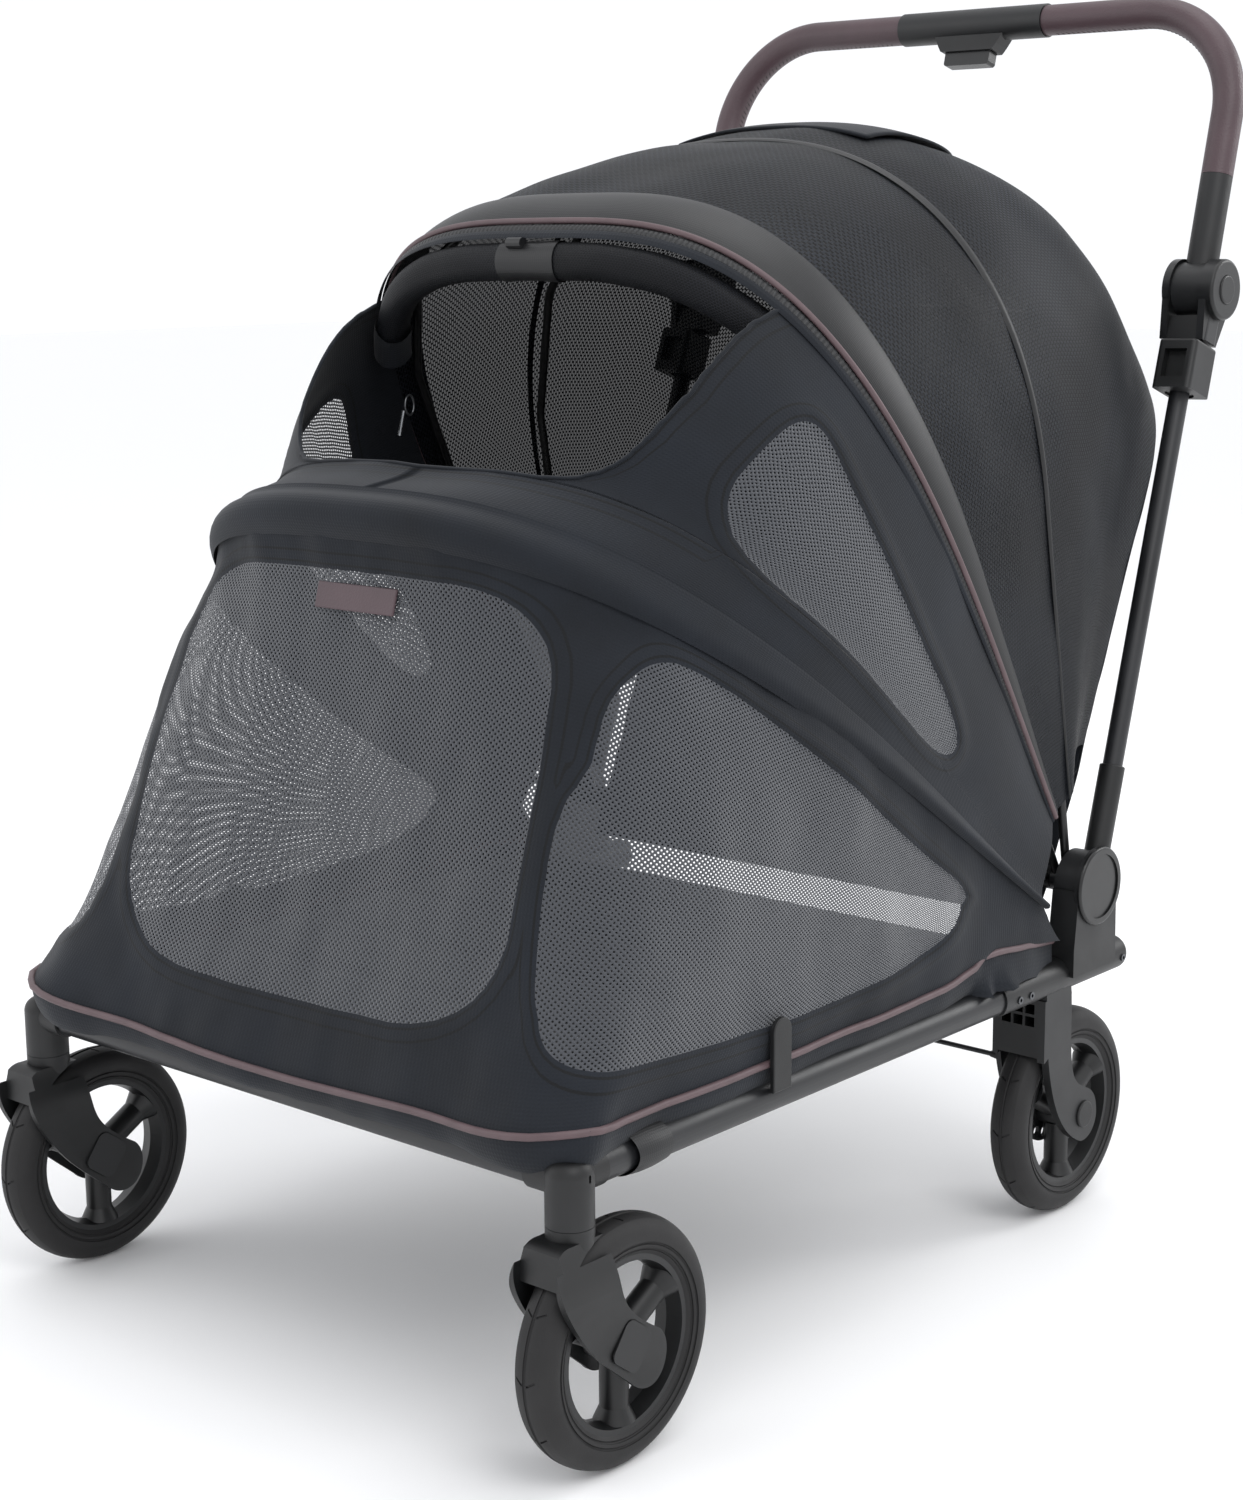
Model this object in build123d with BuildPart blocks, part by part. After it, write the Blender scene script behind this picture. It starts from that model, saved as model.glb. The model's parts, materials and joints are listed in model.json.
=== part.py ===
from build123d import *
from math import atan2, cos, radians, sin
import os

# Pet stroller: a low folding frame on four wheels, a fabric cabin carried by three hoops that fan
# out from the rear hinges, and a telescopic push handle with a tilting U bar.
# Millimetres. +Z is up, the front of the stroller points to -Y, and the pusher's left is +X.
# The origin lies on the floor, under the middle of the overall box.

# ---------------------------------------------------------------- driving dimensions
wheel_radius = 95.0
tyre_half_width = 17.5
rim_seat_radius = 67.0          # where the tyre sits on the rim
rim_half_width = 13.0
rim_wall = 6.0
hub_radius = 16.0
hub_half_length = 17.0
spoke_radius = 11.0
spoke_count = 3
axle_radius = 5.0

caster_x = 303.0                # swivel axis of a front caster, from the middle
caster_trail = 45.0             # front axle behind the swivel axis
caster_top_z = 198.0            # seam between caster fork and elbow
fork_neck_radius = 18.0
fork_half_width = 26.5
fork_leg_wall = 6.0
stem_radius = 6.0
stem_length = 44.0
stem_grip = 14.0                # how deep the stem is pressed into the fork

wheelbase = 683.0               # swivel axis to rear axle
rear_wheel_x = 284.0
side_tube_x = 300.0
side_tube_z = 233.0
side_tube_radius = 14.0
tube_wall = 1.8
cross_tube_radius = 12.5
elbow_radius = 18.0
elbow_height = 50.0             # above the seam
elbow_reach = 30.0              # swivel axis to the ring joint with the side tube
elbow_branch_radius = 15.0
spigot_length = 34.0

sleeve_radius = 15.8            # rear bracket round the side tube
sleeve_front = 138.0            # ahead of the rear axle
sleeve_back = 67.0              # behind the rear axle

brake_ring_radius = 26.0
brake_ring_wall = 4.0
brake_holes = 12
brake_pin_radius = 3.5
pedal_pivot = (-45.0, 165.0)    # from the rear axle, and height
pedal_pin_radius = 4.0
cable_radius = 2.25
cable_ahead = 56.0              # ahead of the rear axle
cable_z = 153.0
cable_boss = 10.0               # moulded boss on each fork that the cable ends in

hinge_behind = 1.0              # fold hinge behind the rear axle
hinge_z = 310.0
hinge_cover_radius = 35.5
hinge_recess_radius = 29.0
hinge_outer_x = 323.0
hinge_pin_radius = 5.0
knuckle_radius = 30.0
push_tube_x = 304.0             # at the foot; the two tubes come closer towards the top
push_tube_behind = 15.6         # foot of the tube's line behind the fold hinge
handle_lean = 19.0              # push tube from the vertical, leaning back
handle_converge = 1.25
bar_lean = 15.2                 # the U bar stands a little steeper

socket_radius = 11.5
socket_end = 105.0              # distances along the push tube are from the fold hinge
lower_tube_radius = 9.0
upper_tube_radius = 13.25
upper_tube_start = 452.0
tube_overlap = 50.0             # how far the lower tube reaches into the upper one
latch_start = 450.0
latch_length = 46.0
latch_depth = 42.0
tilt_distance = 549.0           # foot of the push tube to the tilt joint
tilt_disc_radius = 27.5
tilt_hub_radius = 24.5
tilt_outer_x = 321.0
tilt_pin_radius = 7.0
tilt_button_radius = 13.0
arm_radius = 14.5
arm_length = 105.0              # tilt joint to the lower end of a grip
bar_height = 263.0              # tilt joint to the crossbar
bar_bend = 100.0
bar_core_radius = 11.5
grip_radius = 14.5
bracket_half_length = 83.0
bracket_radius = 16.0
button_drop = 28.0              # crossbar axis to the top of the release button
button_size = (52.0, 13.0, 17.0)
button_pocket = 11.8            # depth of its pocket in the bracket

# cabin: the fabric is a fan of arches about the fold hinge
fabric_wall = 3.0
hoop_rod_radius = 4.0
hoop_lane = 8.6                 # sideways pitch of the hoop ends on the hinge pin
hoop_inset = 11.0               # fabric outer face to the rod's centre line
hoop_bend = 45.0
arch_turns = [90 * k / 8 for k in range(9)]
ridge_angle = 34.8              # slope of each hoop's plane
band_angle = 59.4
canopy_angle = 79.6
# an arch: half width, how far its sides run straight, reach of its crown, squareness
ridge_arch = (312.0, 221.0, 710.0, 2.66)
rim_arch = (308.0, 215.0, 652.0, 3.3)
flank_arch = (303.0, 205.0, 684.0, 3.4)
band_arch = (297.0, 186.0, 689.0, 3.3)
canopy_arch = (296.0, 346.0, 664.0, 2.4)
hoop_foot = 80.0                # where the fabric starts along the band and canopy hoops
ridge_foot_ahead = 28.0         # the ridge arch starts ahead of and below the hinge
ridge_foot_drop = 38.0
cabin_half_width = 312.0
cabin_front = -8.0              # front edge of the cabin floor, from the swivel axis
cabin_base_z = 266.0
opening_half_width = 205.0
opening_front_half = 140.0
opening_angle = 50.0            # slope of the direction the top opening faces
opening_depth = 350.0
opening_front = -128.0          # its rims, along the slope from the middle of the opening
opening_back = 150.0
opening_corner = 28.0
roll_radius = 15.0
roll_inset = 26.0               # fabric outer face to the middle of the roll

board_thickness = 6.0
board_half_width = 282.0
cushion_thickness = 34.0
cushion_half_width = 262.0

run_clear = 0.05                # radial clearance of a shaft in its bore
face_clear = 0.4                # side clearance between parts that turn past each other
seat_clear = 0.1                # a part that is pushed on and stays

# ---------------------------------------------------------------- places worked out from them
lean = radians(handle_lean)
converge = radians(handle_converge)
steep = radians(bar_lean)
up_tube = Vector(-sin(converge), cos(converge) * sin(lean), cos(converge) * cos(lean))
tilt_behind = push_tube_behind + tilt_distance * up_tube.Y
back_y = wheelbase + hinge_behind + tilt_behind + bar_height * sin(steep) + bracket_radius
front_y = caster_trail - wheel_radius
stem_y = -(back_y + front_y) / 2
rear_axle_y = stem_y + wheelbase
hinge_y = rear_axle_y + hinge_behind
tube_foot = Vector(push_tube_x, hinge_y + push_tube_behind, hinge_z)
tilt_center = tube_foot + up_tube * tilt_distance
wheel_z = wheel_radius
sleeve_y0 = rear_axle_y - sleeve_front
sleeve_y1 = rear_axle_y + sleeve_back
hinge_inner_x = push_tube_x + socket_radius + face_clear
knuckle_x0 = push_tube_x - socket_radius
lane_x = [knuckle_x0 - face_clear - hoop_lane * (k + 0.5) for k in range(3)]
tyre_clear = 3.0
sides = (("left", 1), ("right", -1))
os.makedirs("parts", exist_ok=True)


def save(part, name):
    part.label = name
    export_step(part, f"parts/{name}.step")


def both(part, name):
    """Write a left-hand piece and its mirror image."""
    save(part, f"{name}_left")
    save(mirror(part, about=Plane.YZ), f"{name}_right")


def pair(part, name):
    """Write a piece and its mirror image as one node."""
    save(Compound(children=[part, mirror(part, about=Plane.YZ)]), name)


def across(x, y, z):
    """A plane square to X whose local axes are Y and Z."""
    return Plane(origin=(x, y, z), x_dir=(0, 1, 0), z_dir=(1, 0, 0))


def up_handle(distance):
    """The plane square to the left push tube, at a distance from its foot."""
    return Plane(origin=tube_foot + up_tube * distance, x_dir=(1, 0, 0), z_dir=up_tube)


def up_bar(distance):
    """The plane square to the left leg of the U bar, at a distance from the tilt joint."""
    up = Vector(0, sin(steep), cos(steep))
    return Plane(origin=tilt_center + up * distance, x_dir=(1, 0, 0), z_dir=up)


def bar_plane(distance=0.0):
    """The plane that holds the whole U bar: local X is X and local Y runs up the bar."""
    origin = (0, tilt_center.Y + distance * sin(steep), tilt_center.Z + distance * cos(steep))
    return Plane(origin=origin, x_dir=(1, 0, 0), z_dir=(0, -cos(steep), sin(steep)))


def rod(start_plane, radius, length, bore=0.0):
    """A round bar or a tube that stands on a plane."""
    with BuildPart() as bar:
        with BuildSketch(start_plane):
            Circle(radius)
            if bore:
                Circle(bore, mode=Mode.SUBTRACT)
        extrude(amount=length)
    return bar.part


# ---------------------------------------------------------------- wheels
def tyre():
    """Solid foam tyre: round crown, two grooves in each side wall, a centre groove and arrow notches."""
    bead = rim_half_width
    groove = 1.2
    with BuildPart() as wheel:
        with BuildSketch(Plane.XY):
            with BuildLine():
                Line((-bead, rim_seat_radius), (bead, rim_seat_radius))
                ThreePointArc((bead, rim_seat_radius), (tyre_half_width, 80), (11, 92.2))
                ThreePointArc((11, 92.2), (0, wheel_radius), (-11, 92.2))
                ThreePointArc((-11, 92.2), (-tyre_half_width, 80), (-bead, rim_seat_radius))
            make_face()
        revolve(axis=Axis.X)
        with BuildSketch(Plane.XY) as grooves:
            for radius, reach in ((71.0, 15.6), (75.5, 16.9)):
                with Locations((reach, radius), (-reach, radius)):
                    Circle(groove)
            with Locations((0, wheel_radius)):
                Circle(groove * 1.3)
        revolve(axis=Axis.X, mode=Mode.SUBTRACT)
        notches = 12
        for k in range(notches):
            turn = Location((0, 0, 0), (360 / notches * k, 0, 0))
            for side in (-1, 1):
                place = turn * Location((side * 5.5, 0, wheel_radius - 0.6), (0, side * 12, side * 32))
                with Locations(place):
                    Box(8.0, 1.6, 2.4, mode=Mode.SUBTRACT)
    return wheel.part


def rim(brake_ring=False):
    """Moulded rim: hub, three round spokes that flare into the ring; rear rims carry a brake ring."""
    ring_inner = rim_seat_radius - rim_wall
    with BuildPart() as wheel:
        with BuildSketch(Plane.XY):
            with BuildLine():
                Polyline(
                    (-rim_half_width, rim_seat_radius), (rim_half_width, rim_seat_radius),
                    (rim_half_width, ring_inner + 1.5), (0, ring_inner - 1.5),
                    (-rim_half_width, ring_inner + 1.5), close=True,
                )
            make_face()
        revolve(axis=Axis.X)
        with BuildSketch(across(-hub_half_length, 0, 0)):
            Circle(hub_radius)
        extrude(amount=2 * hub_half_length)
        for k in range(spoke_count):
            turn = Location((0, 0, 0), (180 + 360 / spoke_count * k, 0, 0))
            with Locations(turn * Location((0, 0, (hub_radius + ring_inner) / 2))):
                Cylinder(spoke_radius, ring_inner - hub_radius + 6)
            with Locations(turn * Location((0, 0, ring_inner - 5.5))):
                Cone(spoke_radius, spoke_radius + 5, 11)
        if brake_ring:
            with BuildSketch(across(-hub_half_length, 0, 0)):
                Circle(brake_ring_radius + 8)
                with PolarLocations(brake_ring_radius, brake_holes, start_angle=-90):
                    Circle(brake_pin_radius + 1.2, mode=Mode.SUBTRACT)
            extrude(amount=brake_ring_wall)
        with BuildSketch(Plane.XY):
            with Locations((0, rim_seat_radius + 5)):
                Rectangle(4 * rim_half_width, 10)
        revolve(axis=Axis.X, mode=Mode.SUBTRACT)
        with BuildSketch(across(-hub_half_length - 1, 0, 0)):
            Circle(axle_radius + run_clear)
        extrude(amount=2 * hub_half_length + 2, mode=Mode.SUBTRACT)
    return wheel.part


tyre_solid = tyre()
front_rim = rim()
rear_rim = rim(brake_ring=True)
for side, s in sides:
    front = Location((s * caster_x, stem_y + caster_trail, wheel_z))
    rear = Location((s * rear_wheel_x, rear_axle_y, wheel_z))
    save(tyre_solid.moved(front), f"front_tyre_{side}")
    save(front_rim.moved(front), f"front_rim_{side}")
    save(tyre_solid.moved(rear), f"rear_tyre_{side}")
    turned = rear_rim if s == 1 else mirror(rear_rim, about=Plane.YZ)
    save(turned.moved(rear), f"rear_rim_{side}")

# ---------------------------------------------------------------- front casters
axle_y = stem_y + caster_trail
leg_gap = fork_half_width - fork_leg_wall
tyre_gap_radius = wheel_radius + 4.0
cap_recess = 2.2
with BuildPart() as caster_fork:
    with BuildSketch(across(caster_x, stem_y, 0)):
        with BuildLine():
            cowl_front = Spline(
                (-fork_neck_radius + 1, caster_top_z - 8), (-30, 186), (-37, 172), (-27, 138),
                (8, 96), (caster_trail - 8, 71),
            )
            leg_end = ThreePointArc(
                cowl_front @ 1, (caster_trail + 29, 74), (caster_trail + 24, 103)
            )
            leg_back = Spline(
                leg_end @ 1, (caster_trail + 2, 118), (29, 138), (23, 158), (20, 178),
                (fork_neck_radius - 1, caster_top_z - 8),
            )
            Line(leg_back @ 1, cowl_front @ 0)
        make_face()
    extrude(amount=fork_half_width, both=True)
    with BuildSketch(Plane(origin=(caster_x, stem_y, 0), x_dir=(1, 0, 0), z_dir=(0, -1, 0))):
        with BuildLine():
            flank = Spline(
                (fork_neck_radius - 2, caster_top_z), (fork_neck_radius - 0.5, 184),
                (fork_half_width - 2, 164), (fork_half_width, 140), (fork_half_width, 60),
            )
            mirror(flank, about=Plane.YZ)
            Line(flank @ 0, (-fork_neck_radius + 2, caster_top_z))
            Line(flank @ 1, (-fork_half_width, 60))
        make_face()
    extrude(amount=120, both=True, mode=Mode.INTERSECT)
    with BuildSketch(Plane.XY.offset(caster_top_z - 24)):
        with Locations((caster_x, stem_y)):
            Circle(fork_neck_radius)
    extrude(amount=24)
    with BuildSketch(across(caster_x - leg_gap, axle_y, wheel_z)):
        Circle(tyre_gap_radius)
    extrude(amount=2 * leg_gap, mode=Mode.SUBTRACT)
    with BuildSketch(across(caster_x - leg_gap, stem_y, 0)):
        with Locations((-60, 120)):
            Rectangle(60, 140)
    extrude(amount=2 * leg_gap, mode=Mode.SUBTRACT)
    for direction in (-1, 1):
        outer = caster_x + direction * fork_half_width
        with BuildSketch(across(outer, axle_y - 8, wheel_z + 5)):
            RegularPolygon(25, 4, rotation=8)
            fillet(vertices(), 8)
        extrude(amount=-direction * cap_recess, mode=Mode.SUBTRACT)
    with BuildSketch(across(caster_x - fork_half_width, axle_y, wheel_z)):
        Circle(axle_radius + seat_clear)
    extrude(amount=2 * fork_half_width, mode=Mode.SUBTRACT)
    with BuildSketch(Plane.XY.offset(caster_top_z)):
        with Locations((caster_x, stem_y)):
            Circle(stem_radius)
    extrude(amount=-stem_grip, mode=Mode.SUBTRACT)
both(caster_fork.part, "caster_fork")

stem = rod(Plane.XY.offset(caster_top_z - stem_grip), stem_radius, stem_length)
both(stem.moved(Location((caster_x, stem_y, 0))), "caster_stem")

with BuildPart() as front_axle:
    with BuildSketch(across(caster_x - fork_half_width + cap_recess, axle_y, wheel_z)):
        Circle(axle_radius)
    extrude(amount=2 * (fork_half_width - cap_recess))
    for direction in (-1, 1):
        inner = caster_x + direction * (fork_half_width - cap_recess)
        with BuildSketch(across(inner, axle_y - 8, wheel_z + 5)):
            RegularPolygon(23.6, 4, rotation=8)
            fillet(vertices(), 7)
        extrude(amount=direction * (cap_recess - 0.5))
both(front_axle.part, "front_axle")

# ---------------------------------------------------------------- frame
elbow_top_z = caster_top_z + elbow_height
bore_length = stem_length - stem_grip + 2
with BuildPart() as elbow:
    with BuildSketch(Plane.XY.offset(caster_top_z + face_clear)):
        with Locations((caster_x, stem_y)):
            Circle(elbow_radius)
    extrude(amount=elbow_height - face_clear)
    fillet(elbow.edges().group_by(Axis.Z)[-1], 12)
    branch_plane = Plane(origin=(side_tube_x, stem_y, side_tube_z), x_dir=(1, 0, 0), z_dir=(0, 1, 0))
    with BuildSketch(branch_plane):
        Circle(elbow_branch_radius)
    extrude(amount=elbow_reach)
    with BuildSketch(branch_plane.offset(elbow_reach)):
        Circle(side_tube_radius - tube_wall - seat_clear)
    extrude(amount=spigot_length)
    with BuildSketch(across(caster_x, stem_y, side_tube_z)):
        Circle(cross_tube_radius + 2.5)
    extrude(amount=-elbow_radius - 14)
    with BuildSketch(across(caster_x - elbow_radius - 14, stem_y, side_tube_z)):
        Circle(cross_tube_radius + seat_clear)
    extrude(amount=16, mode=Mode.SUBTRACT)
    with BuildSketch(Plane.XY.offset(caster_top_z)):
        with Locations((caster_x, stem_y)):
            Circle(stem_radius + run_clear)
    extrude(amount=bore_length, mode=Mode.SUBTRACT)
    slot = Plane(origin=(caster_x, stem_y, side_tube_z + 2), x_dir=(0, 1, 0), z_dir=(1, 0, 0))
    with BuildSketch(slot.offset(elbow_radius)):
        with Locations((2, 0)):
            SlotOverall(6, 2.4, rotation=90)
    extrude(amount=-5, mode=Mode.SUBTRACT)
both(elbow.part, "front_elbow")

tube_y0 = stem_y + elbow_reach + 0.2
tube_y1 = sleeve_y1 - 12
tube_plane = Plane(origin=(side_tube_x, tube_y0, side_tube_z), x_dir=(1, 0, 0), z_dir=(0, 1, 0))
side_tube = rod(tube_plane, side_tube_radius, tube_y1 - tube_y0, side_tube_radius - tube_wall)
both(side_tube, "side_tube")

# Three cross tubes tie the sides together; the middle and rear ones end in saddles on the side tubes.
middle_tube_y = stem_y + 330
rear_tube_y = sleeve_y0 + 24
front_half = caster_x - elbow_radius - 14 + 16 - 0.2
inner_half = side_tube_x - sleeve_radius - 0.6
cross_tubes = []
for y, half in ((stem_y, front_half), (middle_tube_y, inner_half), (rear_tube_y, inner_half)):
    start = across(-half, y, side_tube_z)
    cross_tubes.append(rod(start, cross_tube_radius, 2 * half, cross_tube_radius - tube_wall))
save(Compound(children=cross_tubes), "cross_tubes")

# ---------------------------------------------------------------- rear brackets and fold hinges
screw_radius = 3.4
screw_seat_x = side_tube_x + sleeve_radius - 1.2
screw_z = side_tube_z - 2
screw_ys = (sleeve_y0 + 20, sleeve_y0 + 38, sleeve_y1 - 12)
column_half = 32.0
column_y = hinge_y
column_inner_x = knuckle_x0
column_outer_x = hinge_outer_x - 3.5
with BuildPart() as rear_bracket:
    sleeve_plane = Plane(origin=(side_tube_x, sleeve_y0, side_tube_z), x_dir=(1, 0, 0), z_dir=(0, 1, 0))
    with BuildSketch(sleeve_plane):
        Circle(sleeve_radius)
    extrude(amount=sleeve_y1 - sleeve_y0)
    fillet(rear_bracket.faces().sort_by(Axis.Y)[-1].edges(), 7)
    with BuildSketch(across(column_inner_x, column_y, side_tube_z)):
        with BuildLine():
            Polyline(
                (-column_half - 6, 0), (column_half + 2, 0), (column_half, hinge_z - side_tube_z),
                (-column_half, hinge_z - side_tube_z), (-column_half - 6, 24), close=True,
            )
        make_face()
    extrude(amount=column_outer_x - column_inner_x)
    with BuildSketch(across(hinge_inner_x, hinge_y, hinge_z)):
        Circle(hinge_cover_radius - 1)
    extrude(amount=hinge_outer_x - 3.5 - hinge_inner_x)
    with BuildSketch(across(column_inner_x - 1, hinge_y, hinge_z)):
        Circle(knuckle_radius + 1.5)
    extrude(amount=hinge_inner_x - column_inner_x + 1, mode=Mode.SUBTRACT)
    with BuildSketch(across(column_inner_x - 1, hinge_y, hinge_z + 30)):
        Rectangle(3 * column_half, 60)
    extrude(amount=hinge_inner_x - column_inner_x + 1, mode=Mode.SUBTRACT)
    with BuildSketch(across(hinge_inner_x - 1, hinge_y, hinge_z)):
        Circle(hinge_pin_radius + seat_clear)
    extrude(amount=30, mode=Mode.SUBTRACT)
    with BuildSketch(sleeve_plane.offset(-1)):
        Circle(side_tube_radius + seat_clear)
    extrude(amount=tube_y1 - sleeve_y0 + 2, mode=Mode.SUBTRACT)
    with BuildSketch(across(screw_seat_x, 0, screw_z)):
        with Locations(*[(y, 0) for y in screw_ys]):
            Circle(screw_radius + seat_clear)
    extrude(amount=6, mode=Mode.SUBTRACT)
both(rear_bracket.part, "rear_bracket")

with BuildPart() as hinge_cover:
    with BuildSketch(across(hinge_outer_x - 3.4, hinge_y, hinge_z)):
        Circle(hinge_cover_radius)
    extrude(amount=3.4)
    fillet(hinge_cover.faces().sort_by(Axis.X)[-1].edges(), 2.4)
    with BuildSketch(across(hinge_outer_x, hinge_y, hinge_z)):
        Circle(hinge_recess_radius)
    extrude(amount=-1.6, mode=Mode.SUBTRACT)
pair(hinge_cover.part, "hinge_covers")

pin_inner_x = lane_x[-1] - hoop_lane / 2 - 4
hinge_pin = rod(across(pin_inner_x, hinge_y, hinge_z), hinge_pin_radius,
                hinge_outer_x - 4.5 - pin_inner_x)
pair(hinge_pin, "hinge_pins")

screws = []
for y in screw_ys:
    with BuildPart() as screw:
        with BuildSketch(across(screw_seat_x, y, screw_z)):
            Circle(screw_radius)
        extrude(amount=2.4)
        with BuildSketch(across(screw_seat_x + 2.4, y, screw_z)):
            RegularPolygon(screw_radius / 2, 6)
        extrude(amount=-1.4, mode=Mode.SUBTRACT)
    screws += [screw.part, mirror(screw.part, about=Plane.YZ)]
save(Compound(children=screws), "bracket_screws")

# ---------------------------------------------------------------- rear forks, axles and brake
rear_leg_outer = rear_wheel_x + 28.0
rear_leg_inner = rear_wheel_x - 26.0
rear_gap = tyre_half_width + tyre_clear
rear_leg_wall_out = rear_leg_outer - rear_wheel_x - rear_gap
with BuildPart() as rear_fork:
    with BuildSketch(across(rear_wheel_x + rear_gap, rear_axle_y, 0)):
        with BuildLine():
            front_edge = Spline((-68, 226), (-66, 190), (-58, 140), (-43, 104), (-4, 70))
            toe = ThreePointArc(front_edge @ 1, (16, 76), (22, 96))
            back_edge = Spline(toe @ 1, (10, 116), (-12, 128), (-24, 160), (-28, 226))
            Line(back_edge @ 1, front_edge @ 0)
        make_face()
    extrude(amount=rear_leg_wall_out)
    with BuildSketch(across(rear_leg_inner, rear_axle_y, 0)):
        with BuildLine():
            front_in = Spline((-72, 222), (-70, 190), (-60, 140), (-43, 104), (-4, 74))
            toe_in = ThreePointArc(front_in @ 1, (14, 80), (18, 96))
            back_in = Spline(toe_in @ 1, (8, 114), (-14, 130), (-24, 160), (-26, 222))
            Line(back_in @ 1, front_in @ 0)
        make_face()
    extrude(amount=rear_wheel_x - rear_gap - rear_leg_inner)
    # ribbed bridge over the tyre, with its pockets open to the front
    with BuildSketch(across(rear_leg_inner, rear_axle_y, 0)):
        with BuildLine():
            Polyline((-70, 160), (-70, 217), (-26, 217), (-26, 180), close=True)
        make_face()
    extrude(amount=rear_leg_outer - rear_leg_inner)
    with BuildSketch(across(rear_wheel_x - rear_gap, rear_axle_y, wheel_z)):
        Circle(wheel_radius + tyre_clear)
    extrude(amount=2 * rear_gap, mode=Mode.SUBTRACT)
    pocket_w, pocket_h, rib = 9.5, 9.0, 2.6
    lattice = Plane(origin=(rear_wheel_x, rear_axle_y - 70, 202), x_dir=(1, 0, 0), z_dir=(0, -1, 0))
    with BuildSketch(lattice):
        with GridLocations(pocket_w + rib, pocket_h + rib, 3, 2):
            Rectangle(pocket_w, pocket_h)
    extrude(amount=-26, mode=Mode.SUBTRACT)
    with BuildSketch(across(rear_leg_inner, rear_axle_y - cable_ahead, cable_z)):
        Circle(cable_radius + 2)
    extrude(amount=-cable_boss, taper=8)
    with BuildSketch(across(rear_leg_inner - 1, rear_axle_y, wheel_z)):
        Circle(axle_radius + seat_clear)
    extrude(amount=rear_leg_outer - rear_leg_inner + 2, mode=Mode.SUBTRACT)
    with BuildSketch(across(rear_leg_inner - 1, rear_axle_y, wheel_z)):
        with Locations((-brake_ring_radius, 0)):
            Circle(brake_pin_radius + run_clear)
    extrude(amount=rear_wheel_x - rear_gap - rear_leg_inner + 2, mode=Mode.SUBTRACT)
    with BuildSketch(across(rear_leg_inner - 1, rear_axle_y, 0)):
        with Locations(pedal_pivot):
            Circle(pedal_pin_radius + run_clear)
    extrude(amount=rear_wheel_x - rear_gap - rear_leg_inner + 2, mode=Mode.SUBTRACT)
    sleeve_cut = Plane(origin=(side_tube_x, sleeve_y0 - 1, side_tube_z), x_dir=(1, 0, 0), z_dir=(0, 1, 0))
    with BuildSketch(sleeve_cut):
        Circle(sleeve_radius)
    extrude(amount=sleeve_y1 - sleeve_y0 + 2, mode=Mode.SUBTRACT)
both(rear_fork.part, "rear_fork")

with BuildPart() as rear_axle:
    with BuildSketch(across(rear_leg_inner, rear_axle_y, wheel_z)):
        Circle(axle_radius)
    extrude(amount=rear_leg_outer - rear_leg_inner)
    with BuildSketch(across(rear_leg_outer, rear_axle_y, wheel_z)):
        Circle(12.5)
    extrude(amount=2.6)
    fillet(rear_axle.faces().sort_by(Axis.X)[-1].edges(), 1.6)
    with BuildSketch(across(rear_leg_inner, rear_axle_y, wheel_z)):
        Circle(9)
    extrude(amount=-3)
pair(rear_axle.part, "rear_axles")

# Brake: a foot pedal behind the right fork, a cable across to the left one, a pin in each fork.
pin_travel = 7.0
brake_pin_tip = rear_wheel_x - hub_half_length - 0.8
with BuildPart() as brake_pin:
    with BuildSketch(across(rear_leg_inner - 5, rear_axle_y - brake_ring_radius, wheel_z)):
        Circle(brake_pin_radius)
    extrude(amount=brake_pin_tip - rear_leg_inner + 5)
    with BuildSketch(across(rear_leg_inner - 8, rear_axle_y - brake_ring_radius, wheel_z)):
        Circle(brake_pin_radius + 2)
    extrude(amount=-3)
    with BuildSketch(across(rear_leg_inner - 8, rear_axle_y - brake_ring_radius, wheel_z)):
        Circle(brake_pin_radius)
    extrude(amount=3)
both(brake_pin.part, "brake_pin")

pedal_x = -rear_leg_inner + face_clear
with BuildPart() as brake_pedal:
    with BuildSketch(across(pedal_x, rear_axle_y, 0)):
        with BuildLine():
            Polyline((-54, 160), (-45, 156), (24, 150), (64, 160), (64, 165), (26, 162), (-38, 174),
                     (-50, 174), close=True)
        make_face()
        fillet(vertices(), 2)
    extrude(amount=8)
    with BuildSketch(across(pedal_x - 2, rear_axle_y, 0)):
        with BuildLine():
            Polyline((30, 151.6), (64, 160), (64, 165), (30, 162.4), close=True)
        make_face()
    extrude(amount=50)
    for k in range(5):
        with BuildSketch(across(pedal_x + 2, rear_axle_y, 0)):
            with Locations((36 + 6 * k, 163.5 + 0.35 * k)):
                Circle(1.2)
        extrude(amount=42)
    with BuildSketch(across(pedal_x, rear_axle_y, 0)):
        with Locations(pedal_pivot):
            Circle(pedal_pin_radius)
    extrude(amount=-5)
save(brake_pedal.part, "brake_pedal")

cable_half = rear_leg_inner - cable_boss
cable_y = rear_axle_y - cable_ahead
save(rod(across(-cable_half, cable_y, cable_z), cable_radius, 2 * cable_half), "brake_cable")
# ---------------------------------------------------------------- floor of the cabin
board_z = side_tube_z + cross_tube_radius
board_y0 = stem_y + elbow_radius + 8
board_y1 = hinge_y - column_half - 12
with BuildPart() as floor_board:
    with BuildSketch(Plane.XY.offset(board_z)):
        with Locations((0, (board_y0 + board_y1) / 2)):
            RectangleRounded(2 * board_half_width, board_y1 - board_y0, 25)
    extrude(amount=board_thickness)
save(floor_board.part, "floor_board")

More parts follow.
